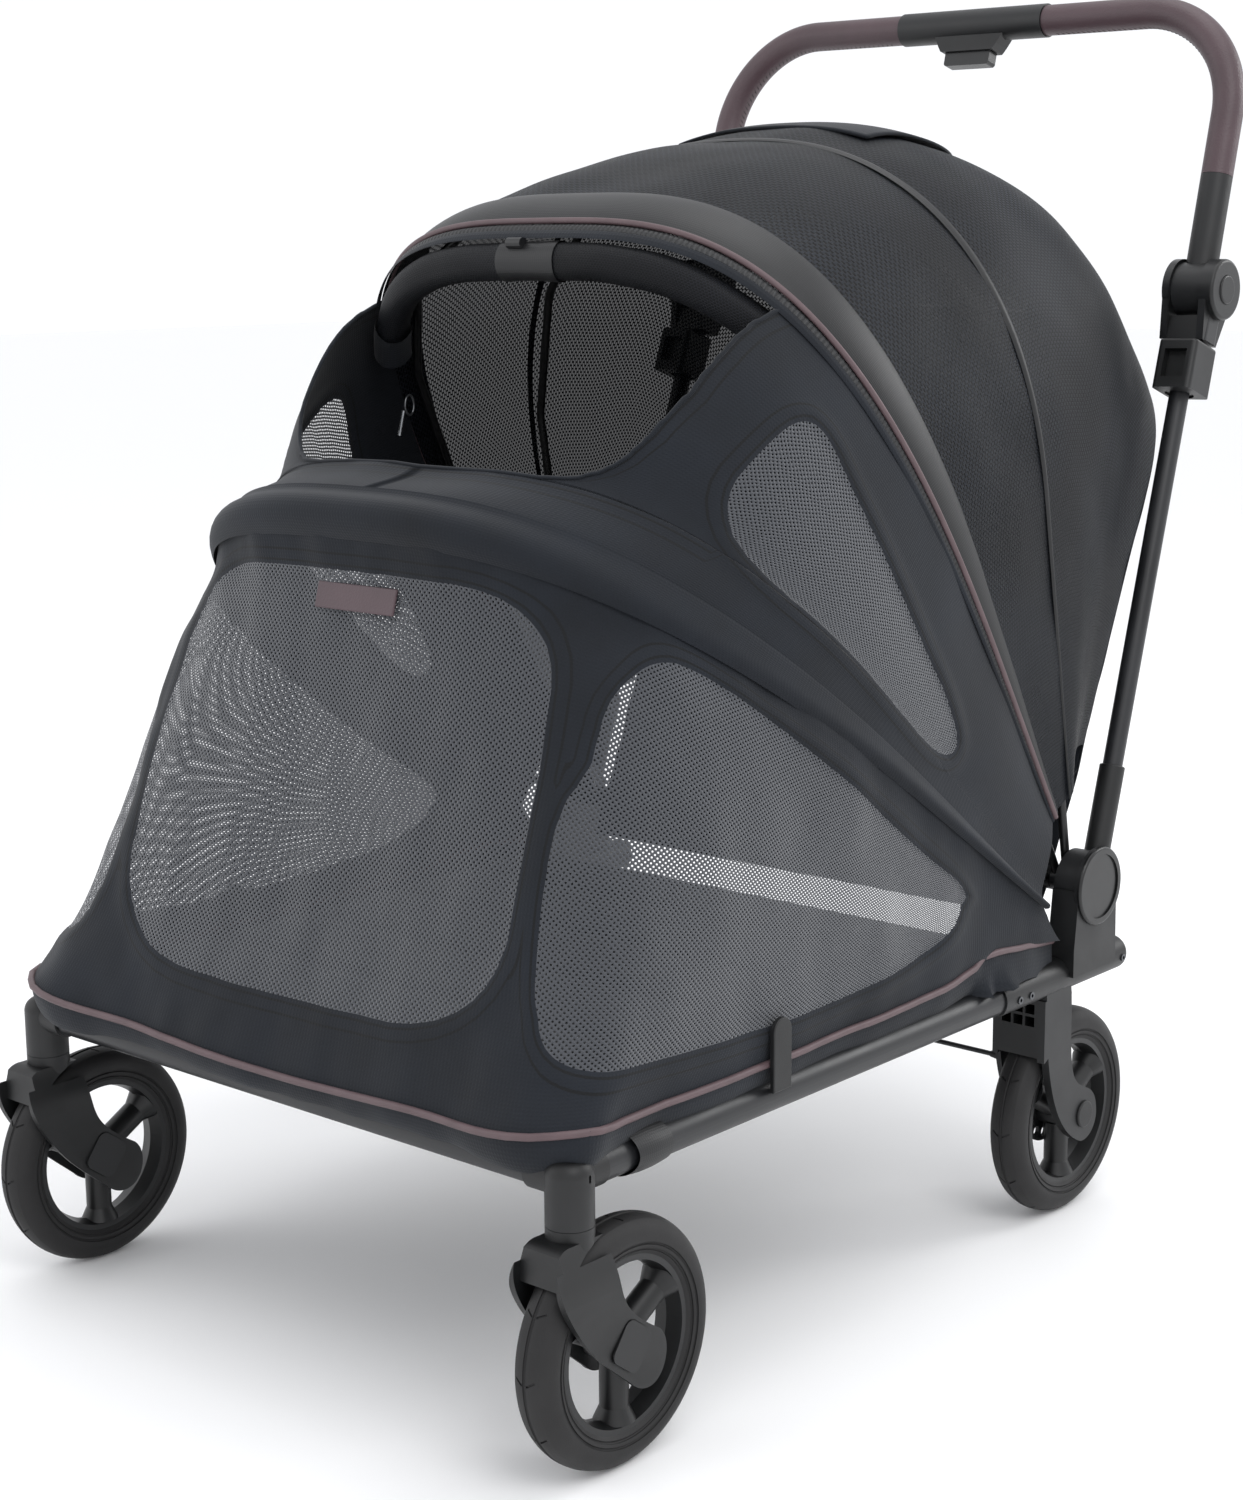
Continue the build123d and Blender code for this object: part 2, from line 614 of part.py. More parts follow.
cushion_y1 = hinge_y - 120
with BuildPart() as cushion:
    with BuildSketch(Plane.XY.offset(board_z + board_thickness)):
        with Locations((0, (board_y0 + cushion_y1) / 2)):
            RectangleRounded(2 * cushion_half_width, cushion_y1 - board_y0, 45)
    extrude(amount=cushion_thickness)
    fillet(cushion.edges().group_by(Axis.Z)[-1], 12)
save(cushion.part, "cushion")

catch_y = stem_y + 224
with BuildPart() as fold_catch:
    with BuildSketch(across(cabin_half_width + fabric_wall + 1, catch_y, 0)):
        with BuildLine():
            Polyline((-11, 288), (-11, 241), (11, 241), (11, 288))
            ThreePointArc((11, 288), (0, 299), (-11, 288))
        make_face()
    extrude(amount=4)
    fillet(fold_catch.faces().sort_by(Axis.X)[-1].edges(), 1.2)
    with BuildSketch(across(side_tube_x + side_tube_radius, catch_y, 0)):
        with Locations((0, side_tube_z + 10)):
            Rectangle(16, 6)
    extrude(amount=cabin_half_width + fabric_wall + 2 - side_tube_x - side_tube_radius)
    with BuildSketch(Plane(origin=(side_tube_x, catch_y - 8, side_tube_z), x_dir=(1, 0, 0), z_dir=(0, 1, 0))):
        Circle(side_tube_radius)
    extrude(amount=16, mode=Mode.SUBTRACT)
pair(fold_catch.part, "fold_catches")

# ---------------------------------------------------------------- fabric fan
# A section is (origin ahead of the hinge, origin below it, slope, half width, straight side, top,
# squareness): an arch in a plane that holds the X direction, measured from its origin.
ridge_origin = (ridge_foot_ahead, ridge_foot_drop)
base_origin = (ridge_foot_ahead, hinge_z - cabin_base_z)
front_top = (stem_y + 91, 630.0)


def front_reach(origin, slope):
    """Distance from a section's origin to the slanted front face, along the section's slope."""
    oy, oz = hinge_y - origin[0], hinge_z - origin[1]
    by, bz = stem_y + cabin_front, cabin_base_z
    ty, tz = front_top
    normal_y, normal_z = bz - tz, ty - by
    ahead = -cos(radians(slope)), sin(radians(slope))
    return (normal_y * (by - oy) + normal_z * (bz - oz)) / (normal_y * ahead[0] + normal_z * ahead[1])


def section_plane(origin, slope):
    a = radians(slope)
    return Plane(
        origin=(0, hinge_y - origin[0], hinge_z - origin[1]),
        x_dir=(1, 0, 0), z_dir=(0, -sin(a), -cos(a)),
    )


def arch(half, straight, top, square, turn):
    """A point of a superellipse arch; turn is 0 at the side and 90 at the crown."""
    a = radians(turn)
    return (half * max(cos(a), 0) ** (2 / square), straight + (top - straight) * sin(a) ** (2 / square))


def arch_outline(half, straight, top, square, start, wall):
    """An arch as a thin closed outline from foot to foot."""
    outer = [arch(half, straight, top, square, turn) for turn in arch_turns]
    inner = [arch(half - wall, straight, top - wall, square, turn) for turn in arch_turns]
    outer += [(-x, y) for x, y in outer[-2::-1]]
    inner += [(-x, y) for x, y in inner[-2::-1]]
    Line((half, start), outer[0])
    Spline(*outer)
    Polyline(outer[-1], (-half, start), (wall - half, start), inner[-1])
    Spline(*inner)
    Polyline(inner[0], (half - wall, start), (half, start))


def fan(sections):
    """A fabric skin lofted from each section to the next."""
    with BuildPart() as skin:
        for pair_of_sections in zip(sections, sections[1:]):
            for origin, slope, *shape in pair_of_sections:
                with BuildSketch(section_plane(origin, slope)):
                    with BuildLine():
                        arch_outline(*shape, fabric_wall)
                    make_face()
            loft(ruled=True)
    return skin


def section_at(slope, half, straight, top, square, start):
    """A section in a plane through the fold hinge."""
    return ((0.0, 0.0), slope, half, straight, top, square, start)


base = (base_origin, 0.0, cabin_half_width, 250.0, front_reach(base_origin, 0), 9.0, 22.0)
low = (base_origin, 12.0, cabin_half_width + 1, 250.0, front_reach(base_origin, 12), 6.0, 26.0)
mid = (base_origin, 25.0, cabin_half_width, 235.0, front_reach(base_origin, 25), 3.8, 40.0)
ridge = (ridge_origin, ridge_angle, *ridge_arch, 60.0)
save(fan((base, low, mid, ridge)).part, "lower_cabin")

# The front panel runs from the ridge to the band hoop; the top opening is cut out of its middle.
front_panel = fan((
    ridge[:6] + (61.0,),
    ((26.0, 34.0), 41.0, *rim_arch, 66.0),
    ((9.0, 10.0), 51.0, *flank_arch, 72.0),
    section_at(band_angle - 0.6, *band_arch, hoop_foot),
))
with BuildPart() as top_opening:
    a = radians(opening_angle)
    out = Vector(0, -cos(a), sin(a))
    with BuildSketch(Plane(origin=Vector(0, hinge_y, hinge_z) + out * opening_depth, x_dir=(1, 0, 0), z_dir=out)):
        with BuildLine():
            Polyline(
                (-opening_front_half, opening_front), (opening_front_half, opening_front),
                (opening_half_width, 0), (opening_half_width, opening_back),
                (-opening_half_width, opening_back), (-opening_half_width, 0), close=True,
            )
        make_face()
        fillet(vertices().group_by(Axis.Y)[0], opening_corner)
    extrude(amount=band_arch[2])
save(front_panel.part - top_opening.part, "front_panel")

canopy_front = fan((
    section_at(band_angle, *band_arch, hoop_foot),
    section_at(69.5, 297.0, 270.0, 676.0, 2.8, hoop_foot),
    section_at(canopy_angle - 0.3, *canopy_arch, hoop_foot),
))
save(canopy_front.part, "canopy_front")

# The rear canopy rounds over to a flat back panel just ahead of the push tubes.
back_slope = 114.0
back_section = section_at(back_slope, 270.0, 370.0, 548.0, 2.6, 125.0)
canopy_rear = fan((
    section_at(canopy_angle + 0.3, *canopy_arch, hoop_foot),
    section_at(91.0, 290.0, 350.0, 662.0, 2.4, 84.0),
    section_at(100.0, 280.0, 370.0, 642.0, 2.5, 110.0),
    section_at(107.0, 273.0, 370.0, 604.0, 2.6, 120.0),
    back_section,
))
save(canopy_rear.part, "canopy_rear")

back_half, back_straight, back_top = back_section[2:5]
panel_foot = -46.0
pin_side = pin_inner_x - 5.0
with BuildPart() as back_panel:
    with BuildSketch(section_plane((0.0, 0.0), back_slope)):
        with BuildLine():
            outline = [arch(back_half - 4, back_straight, back_top - 4, 2.4, 90 * k / 8) for k in range(9)]
            Spline(*outline, *[(-x, y) for x, y in outline[-2::-1]])
            wide, narrow = back_half - 4, pin_side
            Polyline((-wide, back_straight), (-wide, 150), (-narrow, 110), (-narrow, panel_foot),
                     (narrow, panel_foot), (narrow, 110), (wide, 150), (wide, back_straight))
        make_face()
    extrude(amount=fabric_wall)
save(back_panel.part, "back_panel")

# ---------------------------------------------------------------- hoops
def hoop(origin, slope, half, straight, top, square, lane, lane_end, spread_end):
    """A bent rod: two eyes on the hinge pin, arms that step outwards, and an arch under the fabric."""
    width = half - hoop_inset
    crown = top - hoop_inset
    plane = section_plane(origin, slope)
    foot_y, foot_z = -origin[0], -origin[1]
    a = radians(slope)
    spread = Vector(width, hinge_y + foot_y - spread_end * cos(a), hinge_z + foot_z + spread_end * sin(a))
    aim = atan2(spread.Z - hinge_z, hinge_y - spread.Y)
    near = [Vector(lane, hinge_y - d * cos(aim), hinge_z + d * sin(aim)) for d in (9.0, lane_end)]
    over = [plane.from_local_coords(Vector(*arch(width, straight, crown, square, t)))
            for t in (8, 32, 56, 77)]
    right = near + [spread] + over
    points = right + [Vector(-p.X, p.Y, p.Z) for p in reversed(right)]
    with BuildPart() as bent:
        with BuildLine() as path:
            FilletPolyline(*points, radius=hoop_bend)
        with BuildSketch(Plane(origin=path.line @ 0, z_dir=path.line % 0)):
            Circle(hoop_rod_radius)
        sweep(path=path.line)
        for direction in (-1, 1):
            eye = across(direction * lane - (hoop_lane - 0.8) / 2, hinge_y, hinge_z)
            with BuildSketch(eye):
                Circle(10.5)
            extrude(amount=hoop_lane - 0.8)
            with BuildSketch(eye.offset(-1)):
                Circle(hinge_pin_radius + run_clear)
            extrude(amount=hoop_lane + 2, mode=Mode.SUBTRACT)
    return bent.part


save(hoop(ridge_origin, ridge_angle, *ridge_arch, lane_x[2], 60.0, 165.0), "ridge_hoop")
save(hoop((0, 0), band_angle, *band_arch, lane_x[1], 84.0, 170.0), "band_hoop")
save(hoop((0, 0), canopy_angle, *canopy_arch, lane_x[0], 112.0, 205.0), "canopy_hoop")

# The mesh door of the top opening, rolled up and tied under the band hoop.
roll_plane = section_plane((0, 0), band_angle - 3.0)
roll_turns = (52, 62, 72, 82)
half, straight, crown, square = band_arch
roll_arch = [arch(half - roll_inset, straight, crown - roll_inset, square, turn) for turn in roll_turns]
with BuildPart() as rolled_door:
    with BuildLine(roll_plane) as roll_path:
        right = [roll_plane.from_local_coords(Vector(x, y)) for x, y in roll_arch]
        FilletPolyline(*right, *[Vector(-p.X, p.Y, p.Z) for p in reversed(right)], radius=60)
    with BuildSketch(Plane(origin=roll_path.line @ 0, z_dir=roll_path.line % 0)):
        Circle(roll_radius)
    sweep(path=roll_path.line)
save(rolled_door.part, "rolled_door")

# ---------------------------------------------------------------- push handle
upper_top = tilt_distance - tilt_hub_radius - 4
lower_tube_end = upper_tube_start + tube_overlap
with BuildPart() as knuckle:
    with BuildSketch(across(knuckle_x0, hinge_y, hinge_z)):
        Circle(knuckle_radius)
    extrude(amount=2 * socket_radius)
    with BuildSketch(up_handle(12)):
        Circle(socket_radius - 0.01)
    extrude(amount=socket_end - 12)
    fillet(knuckle.edges().sort_by(Axis.Z)[-1], 1.5)
    with BuildSketch(across(knuckle_x0 - 1, hinge_y, hinge_z)):
        Circle(hinge_pin_radius + run_clear)
    extrude(amount=2 * socket_radius + 2, mode=Mode.SUBTRACT)
    with BuildSketch(up_handle(30)):
        Circle(lower_tube_radius + seat_clear)
    extrude(amount=socket_end, mode=Mode.SUBTRACT)
both(knuckle.part, "handle_knuckle")

both(rod(up_handle(30.2), lower_tube_radius, lower_tube_end - 30.2, lower_tube_radius - tube_wall),
     "lower_tube")

disc_gap = grip_radius + face_clear
tilt_x = tilt_center.X
disc_depth = tilt_outer_x - tilt_x - disc_gap
with BuildPart() as upper_tube:
    with BuildSketch(up_handle(upper_tube_start)):
        Circle(upper_tube_radius)
    extrude(amount=upper_top - upper_tube_start)
    with BuildSketch(up_handle(upper_top - 22)):
        RectangleRounded(2 * disc_gap + 14, 2 * upper_tube_radius, 6)
    extrude(amount=22)
    for outwards in (1, -1):
        cheek = across(tilt_x + outwards * disc_gap, tilt_center.Y, tilt_center.Z)
        with BuildSketch(cheek):
            Circle(tilt_disc_radius)
        extrude(amount=outwards * (disc_depth if outwards == 1 else disc_depth * 0.5))
        with BuildSketch(cheek):
            with BuildLine():
                foot = [(-upper_tube_radius, -tilt_hub_radius - 26), (upper_tube_radius, -tilt_hub_radius - 26),
                        (tilt_disc_radius - 4, -12), (-tilt_disc_radius + 4, -12)]
                Polyline(*[(x * cos(lean) + y * sin(lean), y * cos(lean) - x * sin(lean)) for x, y in foot],
                         close=True)
            make_face()
        extrude(amount=outwards * 7)
    fillet(upper_tube.faces().sort_by(Axis.X)[-1].edges(), 3)
    with BuildSketch(across(tilt_x - disc_gap, tilt_center.Y, tilt_center.Z)):
        Circle(tilt_hub_radius + face_clear)
    extrude(amount=2 * disc_gap, mode=Mode.SUBTRACT)
    with BuildSketch(across(tilt_x - disc_gap - 1, tilt_center.Y, tilt_center.Z)):
        Circle(tilt_pin_radius)
    extrude(amount=2 * disc_gap - 4)
    with BuildSketch(across(tilt_outer_x, tilt_center.Y, tilt_center.Z)):
        Circle(tilt_button_radius + 0.3)
    extrude(amount=-13, mode=Mode.SUBTRACT)
    with BuildSketch(up_handle(upper_tube_start - 1)):
        Circle(lower_tube_radius + seat_clear)
    extrude(amount=tube_overlap + 3, mode=Mode.SUBTRACT)
both(upper_tube.part, "upper_tube")

with BuildPart() as fold_latch:
    latch_plane = up_handle(latch_start)
    with BuildSketch(latch_plane):
        with Locations((3, upper_tube_radius + 3 - latch_depth / 2)):
            RectangleRounded(2 * upper_tube_radius + 12, latch_depth, 5)
    extrude(amount=latch_length)
    fillet(fold_latch.faces().sort_by(Axis.Z)[-1].edges(), 3)
    with BuildSketch(latch_plane):
        Circle(upper_tube_radius + seat_clear)
    extrude(amount=latch_length, mode=Mode.SUBTRACT)
    with BuildSketch(latch_plane.offset(10)):
        with Locations((3, -upper_tube_radius - 12)):
            Rectangle(22, 16)
    extrude(amount=26, mode=Mode.SUBTRACT)
both(fold_latch.part, "fold_latch")

with BuildPart() as tilt_button:
    with BuildSketch(across(tilt_outer_x - 7, tilt_center.Y, tilt_center.Z)):
        Circle(tilt_button_radius)
    extrude(amount=8.5)
    fillet(tilt_button.faces().sort_by(Axis.X)[-1].edges(), 1.5)
both(tilt_button.part, "tilt_button")

core_start = 40.2
with BuildPart() as tilt_arm:
    with BuildSketch(across(tilt_x - grip_radius, tilt_center.Y, tilt_center.Z)):
        Circle(tilt_hub_radius)
    extrude(amount=2 * grip_radius)
    with BuildSketch(up_bar(8)):
        Circle(arm_radius - 0.01)
    extrude(amount=arm_length - 8)
    with BuildSketch(across(tilt_x - grip_radius - 1, tilt_center.Y, tilt_center.Z)):
        Circle(tilt_pin_radius + run_clear)
    extrude(amount=2 * grip_radius - 1, mode=Mode.SUBTRACT)
    with BuildSketch(up_bar(core_start - 0.2)):
        Circle(bar_core_radius + seat_clear)
    extrude(amount=arm_length, mode=Mode.SUBTRACT)
both(tilt_arm.part, "tilt_arm")

with BuildPart() as handle_tube:
    with BuildLine(bar_plane()) as core_path:
        FilletPolyline(
            (tilt_x, core_start), (tilt_x, bar_height), (-tilt_x, bar_height), (-tilt_x, core_start),
            radius=bar_bend,
        )
    with BuildSketch(up_bar(core_start)):
        Circle(bar_core_radius)
        Circle(bar_core_radius - tube_wall, mode=Mode.SUBTRACT)
    sweep(path=core_path.line)
save(handle_tube.part, "handle_tube")

collar_gap = 0.3
with BuildPart() as grip:
    with BuildLine(bar_plane()) as grip_path:
        FilletPolyline(
            (tilt_x, arm_length + collar_gap), (tilt_x, bar_height),
            (bracket_half_length + collar_gap, bar_height), radius=bar_bend,
        )
    with BuildSketch(up_bar(arm_length + collar_gap)):
        Circle(grip_radius)
        Circle(bar_core_radius + seat_clear, mode=Mode.SUBTRACT)
    sweep(path=grip_path.line)
both(grip.part, "grip")

bar_center = bar_plane(bar_height)
with BuildPart() as handle_bracket:
    axis_plane = Plane(origin=bar_center.origin, x_dir=bar_center.y_dir, z_dir=(1, 0, 0))
    with BuildSketch(axis_plane.offset(-bracket_half_length)):
        Circle(bracket_radius)
    extrude(amount=2 * bracket_half_length)
    with BuildSketch(bar_center):
        with BuildLine():
            Polyline((-44, -4), (44, -4), (34, -22), (30, -button_drop), (-30, -button_drop), (-34, -22),
                     close=True)
        make_face()
        fillet(vertices(), 2.5)
    extrude(amount=10, both=True)
    with BuildSketch(bar_center):
        with Locations((0, -button_drop)):
            Rectangle(button_size[0] + 1, 2 * button_pocket)
    extrude(amount=button_size[1] / 2 + 0.5, both=True, mode=Mode.SUBTRACT)
    with BuildSketch(axis_plane.offset(-bracket_half_length - 1)):
        Circle(bar_core_radius + seat_clear)
    extrude(amount=2 * bracket_half_length + 2, mode=Mode.SUBTRACT)
save(handle_bracket.part, "handle_bracket")

with BuildPart() as release_button:
    with BuildSketch(bar_center):
        with Locations((0, -button_drop - button_size[2] / 2 + 3.5)):
            RectangleRounded(button_size[0], button_size[2], 3)
    extrude(amount=button_size[1] / 2, both=True)
save(release_button.part, "release_button")

for radius, name in ((axle_radius, "axles"), (hinge_pin_radius, "fold hinge pins")):
    print(name, 2 * radius, "mm")
print("brake cable straight between its ends", 2 * cable_half, "mm")
print("origin: swivel axes at y", round(stem_y, 3), "fold hinge at y", round(hinge_y, 3))
print("tilt joint", [round(v, 3) for v in tilt_center], "lanes", lane_x)
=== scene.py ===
import bpy
import json
import math
import numpy as np
from mathutils import Matrix, Vector, noise


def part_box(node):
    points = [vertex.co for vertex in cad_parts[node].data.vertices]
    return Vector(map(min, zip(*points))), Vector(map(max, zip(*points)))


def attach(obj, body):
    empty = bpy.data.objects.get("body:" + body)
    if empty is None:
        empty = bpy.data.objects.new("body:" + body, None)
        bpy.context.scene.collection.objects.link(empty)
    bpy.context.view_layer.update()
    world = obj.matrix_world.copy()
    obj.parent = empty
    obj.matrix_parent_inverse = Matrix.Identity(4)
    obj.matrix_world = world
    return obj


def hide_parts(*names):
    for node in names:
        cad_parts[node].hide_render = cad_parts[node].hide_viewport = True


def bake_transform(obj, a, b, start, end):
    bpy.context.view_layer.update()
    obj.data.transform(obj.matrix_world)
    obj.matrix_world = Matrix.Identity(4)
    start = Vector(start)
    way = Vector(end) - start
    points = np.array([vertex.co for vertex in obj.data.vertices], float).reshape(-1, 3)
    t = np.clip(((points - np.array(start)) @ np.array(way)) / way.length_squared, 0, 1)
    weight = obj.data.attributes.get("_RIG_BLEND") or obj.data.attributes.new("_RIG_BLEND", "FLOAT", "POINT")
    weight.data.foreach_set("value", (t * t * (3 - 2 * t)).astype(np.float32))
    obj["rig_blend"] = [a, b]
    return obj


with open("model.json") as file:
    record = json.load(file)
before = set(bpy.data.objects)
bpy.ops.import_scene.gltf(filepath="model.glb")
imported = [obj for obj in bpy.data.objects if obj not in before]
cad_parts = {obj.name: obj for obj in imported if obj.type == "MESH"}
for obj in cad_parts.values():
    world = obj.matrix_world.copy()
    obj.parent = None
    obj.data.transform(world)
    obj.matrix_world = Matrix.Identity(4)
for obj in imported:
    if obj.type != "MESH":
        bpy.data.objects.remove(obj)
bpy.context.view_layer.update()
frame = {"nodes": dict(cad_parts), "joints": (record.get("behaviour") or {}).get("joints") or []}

# ---------------------------------------------------------------- studio and camera
# A white cyclorama, three soft panels and a lens of about 61 mm, placed in front and to the left
# of the stroller. Everything on the stroller is placed from the front swivel axes on the floor.
joints = {joint["name"]: joint for joint in frame["joints"]}
STEM_Y = joints["caster_swivel_left"]["pos_m"][1]
HINGE = Vector(joints["fold"]["pos_m"])
MM = 0.001


def at(x, y, z):
    """A place in millimetres, measured from the middle of the front swivel axes on the floor."""
    return Vector((x * MM, STEM_Y + y * MM, z * MM))


def linear(code):
    """An sRGB hex code as linear RGBA."""
    parts = [int(code[k:k + 2], 16) / 255 for k in (1, 3, 5)]
    return [c / 12.92 if c < 0.04045 else ((c + 0.055) / 1.055) ** 2.4 for c in parts] + [1.0]


def node(tree, kind, settings=None, **links):
    """Adds a node; settings go to its properties or its sockets, links name the sockets they feed."""
    made = tree.nodes.new(kind)
    for key, value in (settings or {}).items():
        if isinstance(key, int) or key in made.inputs:
            made.inputs[key].default_value = value
        else:
            setattr(made, key, value)
    for key, source in links.items():
        socket = made.inputs[int(key[1:])] if key[0] == "i" and key[1:].isdigit() else made.inputs[key]
        tree.links.new(source, socket)
    return made


def new_material(name):
    material = bpy.data.materials.new(name)
    material.use_nodes = True
    tree = material.node_tree
    return material, tree, tree.nodes["Principled BSDF"]


floor_material, tree, shader = new_material("studio_paper")
shader.inputs["Base Color"].default_value = linear("#fbfbfb")
shader.inputs["Roughness"].default_value = 0.9
bpy.ops.mesh.primitive_plane_add(size=40, location=(0, 0, 0))
floor = bpy.context.object
floor.name = "studio_floor"
floor.data.materials.append(floor_material)

world = bpy.data.worlds.new("studio")
bpy.context.scene.world = world
world.use_nodes = True
world.node_tree.nodes["Background"].inputs["Color"].default_value = linear("#f6f7fa")
world.node_tree.nodes["Background"].inputs["Strength"].default_value = 1.1
for name, place, size, power in (
    ("key_panel", (2.4, -1.2, 2.9), 1.6, 30),
    ("fill_panel", (-2.6, -2.4, 2.0), 2.2, 14),
    ("top_panel", (0.2, 0.4, 3.2), 2.0, 20),
    ("rim_panel", (1.6, 2.6, 1.8), 1.2, 24),
):
    lamp = bpy.data.lights.new(name, "AREA")
    lamp.size = size
    lamp.energy = power
    panel = bpy.data.objects.new(name, lamp)
    panel.location = place
    panel.rotation_euler = (Vector((0, 0, 0.5)) - Vector(place)).to_track_quat("-Z", "Y").to_euler()
    bpy.context.scene.collection.objects.link(panel)

turn, rise, roll = math.radians(41.2), math.radians(11.4), math.radians(-0.5)
back = Vector((math.sin(turn) * math.cos(rise), -math.cos(turn) * math.cos(rise), math.sin(rise)))
right = Vector((math.cos(turn), math.sin(turn), 0))
up = back.cross(right)
camera_right = math.cos(roll) * right + math.sin(roll) * up
camera_up = math.cos(roll) * up - math.sin(roll) * right
camera = bpy.data.objects.new("camera", bpy.data.cameras.new("camera"))
camera.data.lens = 60.74
camera.data.sensor_width = 36
camera.data.clip_end = 60
camera.matrix_world = (
    Matrix.Translation(at(1441.4, -1240.8, 878.2))
    @ Matrix((camera_right, camera_up, back)).transposed().to_4x4()
)
bpy.context.scene.collection.objects.link(camera)
bpy.context.scene.camera = camera
bpy.context.scene.view_settings.view_transform = "Standard"

# ---------------------------------------------------------------- tubes, mouldings and wheels
# Powder-coated aluminium tube, glass-filled nylon castings, foam tyres on moulded rims and zinc
# plated hardware. These are the carried-over solids, so only their finish is made here.


def give(material, *names):
    for name in names:
        target = frame["nodes"][name]
        target.data.materials.clear()
        target.data.materials.append(material)


def sides(*names):
    return [f"{name}_{side}" for name in names for side in ("left", "right")]


def grained(name, color, worn, roughness, grain_mm, grain_depth, metallic=0.0, coat=0.0):
    """A moulded or coated finish: fine grain in the bump, cloudy gloss, edges rubbed a little paler."""
    material, tree, shader = new_material(name)
    place = node(tree, "ShaderNodeTexCoord").outputs["Object"]
    grain = node(tree, "ShaderNodeTexNoise", {"Scale": 1 / (grain_mm * MM), "Detail": 3.0}, Vector=place)
    cloud = node(tree, "ShaderNodeTexNoise", {"Scale": 14.0, "Detail": 4.0, "Roughness": 0.6}, Vector=place)
    edge = node(tree, "ShaderNodeNewGeometry")
    rub = node(tree, "ShaderNodeMapRange", {"From Min": 0.52, "From Max": 0.62},
               Value=edge.outputs["Pointiness"])
    blotch = node(tree, "ShaderNodeMath", {"operation": "MULTIPLY"},
                  i0=rub.outputs[0], i1=cloud.outputs["Fac"])
    tone = node(tree, "ShaderNodeMix", {"data_type": "RGBA", 6: linear(color), 7: linear(worn)},
                i0=blotch.outputs[0])
    gloss = node(tree, "ShaderNodeMapRange", {"From Min": 0.3, "From Max": 0.7, "To Min": roughness - 0.07,
                                              "To Max": roughness + 0.09}, Value=cloud.outputs["Fac"])
    bump = node(tree, "ShaderNodeBump", {"Strength": grain_depth, "Distance": 0.0004},
                Height=grain.outputs["Fac"])
    shader.inputs["Metallic"].default_value = metallic
    shader.inputs["Coat Weight"].default_value = coat
    tree.links.new(tone.outputs[2], shader.inputs["Base Color"])
    tree.links.new(gloss.outputs[0], shader.inputs["Roughness"])
    tree.links.new(bump.outputs[0], shader.inputs["Normal"])
    return material


coated_tube = grained("satin_powder_coat", "#0a0b0c", "#26272a", 0.38, 0.5, 0.10)
nylon = grained("textured_black_nylon", "#08090a", "#1d1e20", 0.48, 0.7, 0.22)
gloss_nylon = grained("polished_black_nylon", "#070809", "#1d1e20", 0.32, 0.5, 0.05)
rim_nylon = grained("moulded_rim_nylon", "#08090a", "#1c1d1f", 0.42, 0.6, 0.10)
foam_rubber = grained("solid_foam_rubber", "#0f0e0f", "#242324", 0.62, 1.1, 0.35)
zinc = grained("zinc_plated_steel", "#3b3d40", "#7c7e81", 0.36, 0.6, 0.10, metallic=1.0)
cable_jacket = grained("cable_jacket_pvc", "#101112", "#2a2b2c", 0.40, 0.6, 0.10)
give(coated_tube, *sides("side_tube", "lower_tube", "upper_tube"), "cross_tubes", "handle_tube",
     "ridge_hoop", "band_hoop", "canopy_hoop")
give(nylon, *sides("caster_fork", "front_elbow", "rear_bracket", "rear_fork", "handle_knuckle",
                   "fold_latch", "tilt_arm", "front_axle"),
     "brake_pedal", "fold_catches", "handle_bracket", "rear_axles")
give(gloss_nylon, *sides("tilt_button"), "hinge_covers", "release_button")
give(rim_nylon, *sides("front_rim", "rear_rim"))
give(foam_rubber, *sides("front_tyre", "rear_tyre"))
give(zinc, *sides("caster_stem", "brake_pin"), "hinge_pins", "bracket_screws")
give(cable_jacket, "brake_cable")
for cad_node in frame["nodes"].values():
    bpy.ops.object.select_all(action="DESELECT")
    cad_node.select_set(True)
    bpy.context.view_layer.objects.active = cad_node
    bpy.ops.object.shade_smooth_by_angle(angle=math.radians(32))

# ---------------------------------------------------------------- leatherette grips
# Two padded leatherette sleeves, pulled over the bar and laced along the inside of the bow. The
# skin has a pebbled grain of about a millimetre, and the lacing thread is a shade paler.
leather, tree, shader = new_material("pebbled_leatherette")
place = node(tree, "ShaderNodeTexCoord").outputs["Object"]
pebble = node(tree, "ShaderNodeTexVoronoi", {"Scale": 1 / (1.6 * MM), "feature": "SMOOTH_F1"}, Vector=place)
cloud = node(tree, "ShaderNodeTexNoise", {"Scale": 22.0, "Detail": 5.0}, Vector=place)
tone = node(tree, "ShaderNodeMix", {"data_type": "RGBA", 6: linear("#3b2d31"), 7: linear("#513f44")},
            i0=cloud.outputs["Fac"])
bump = node(tree, "ShaderNodeBump", {"Strength": 0.35, "Distance": 0.0006}, Height=pebble.outputs["Distance"])
shader.inputs["Roughness"].default_value = 0.46
tree.links.new(tone.outputs[2], shader.inputs["Base Color"])
tree.links.new(bump.outputs[0], shader.inputs["Normal"])
give(leather, *sides("grip"))

# ---------------------------------------------------------------- cloth helpers and cabin cloth
# The cabin is sewn from woven polyester with windows of fine net. Each panel is one curved sheet
# between two hoops, cut with even margins; the net is let in behind a folded and stitched border.


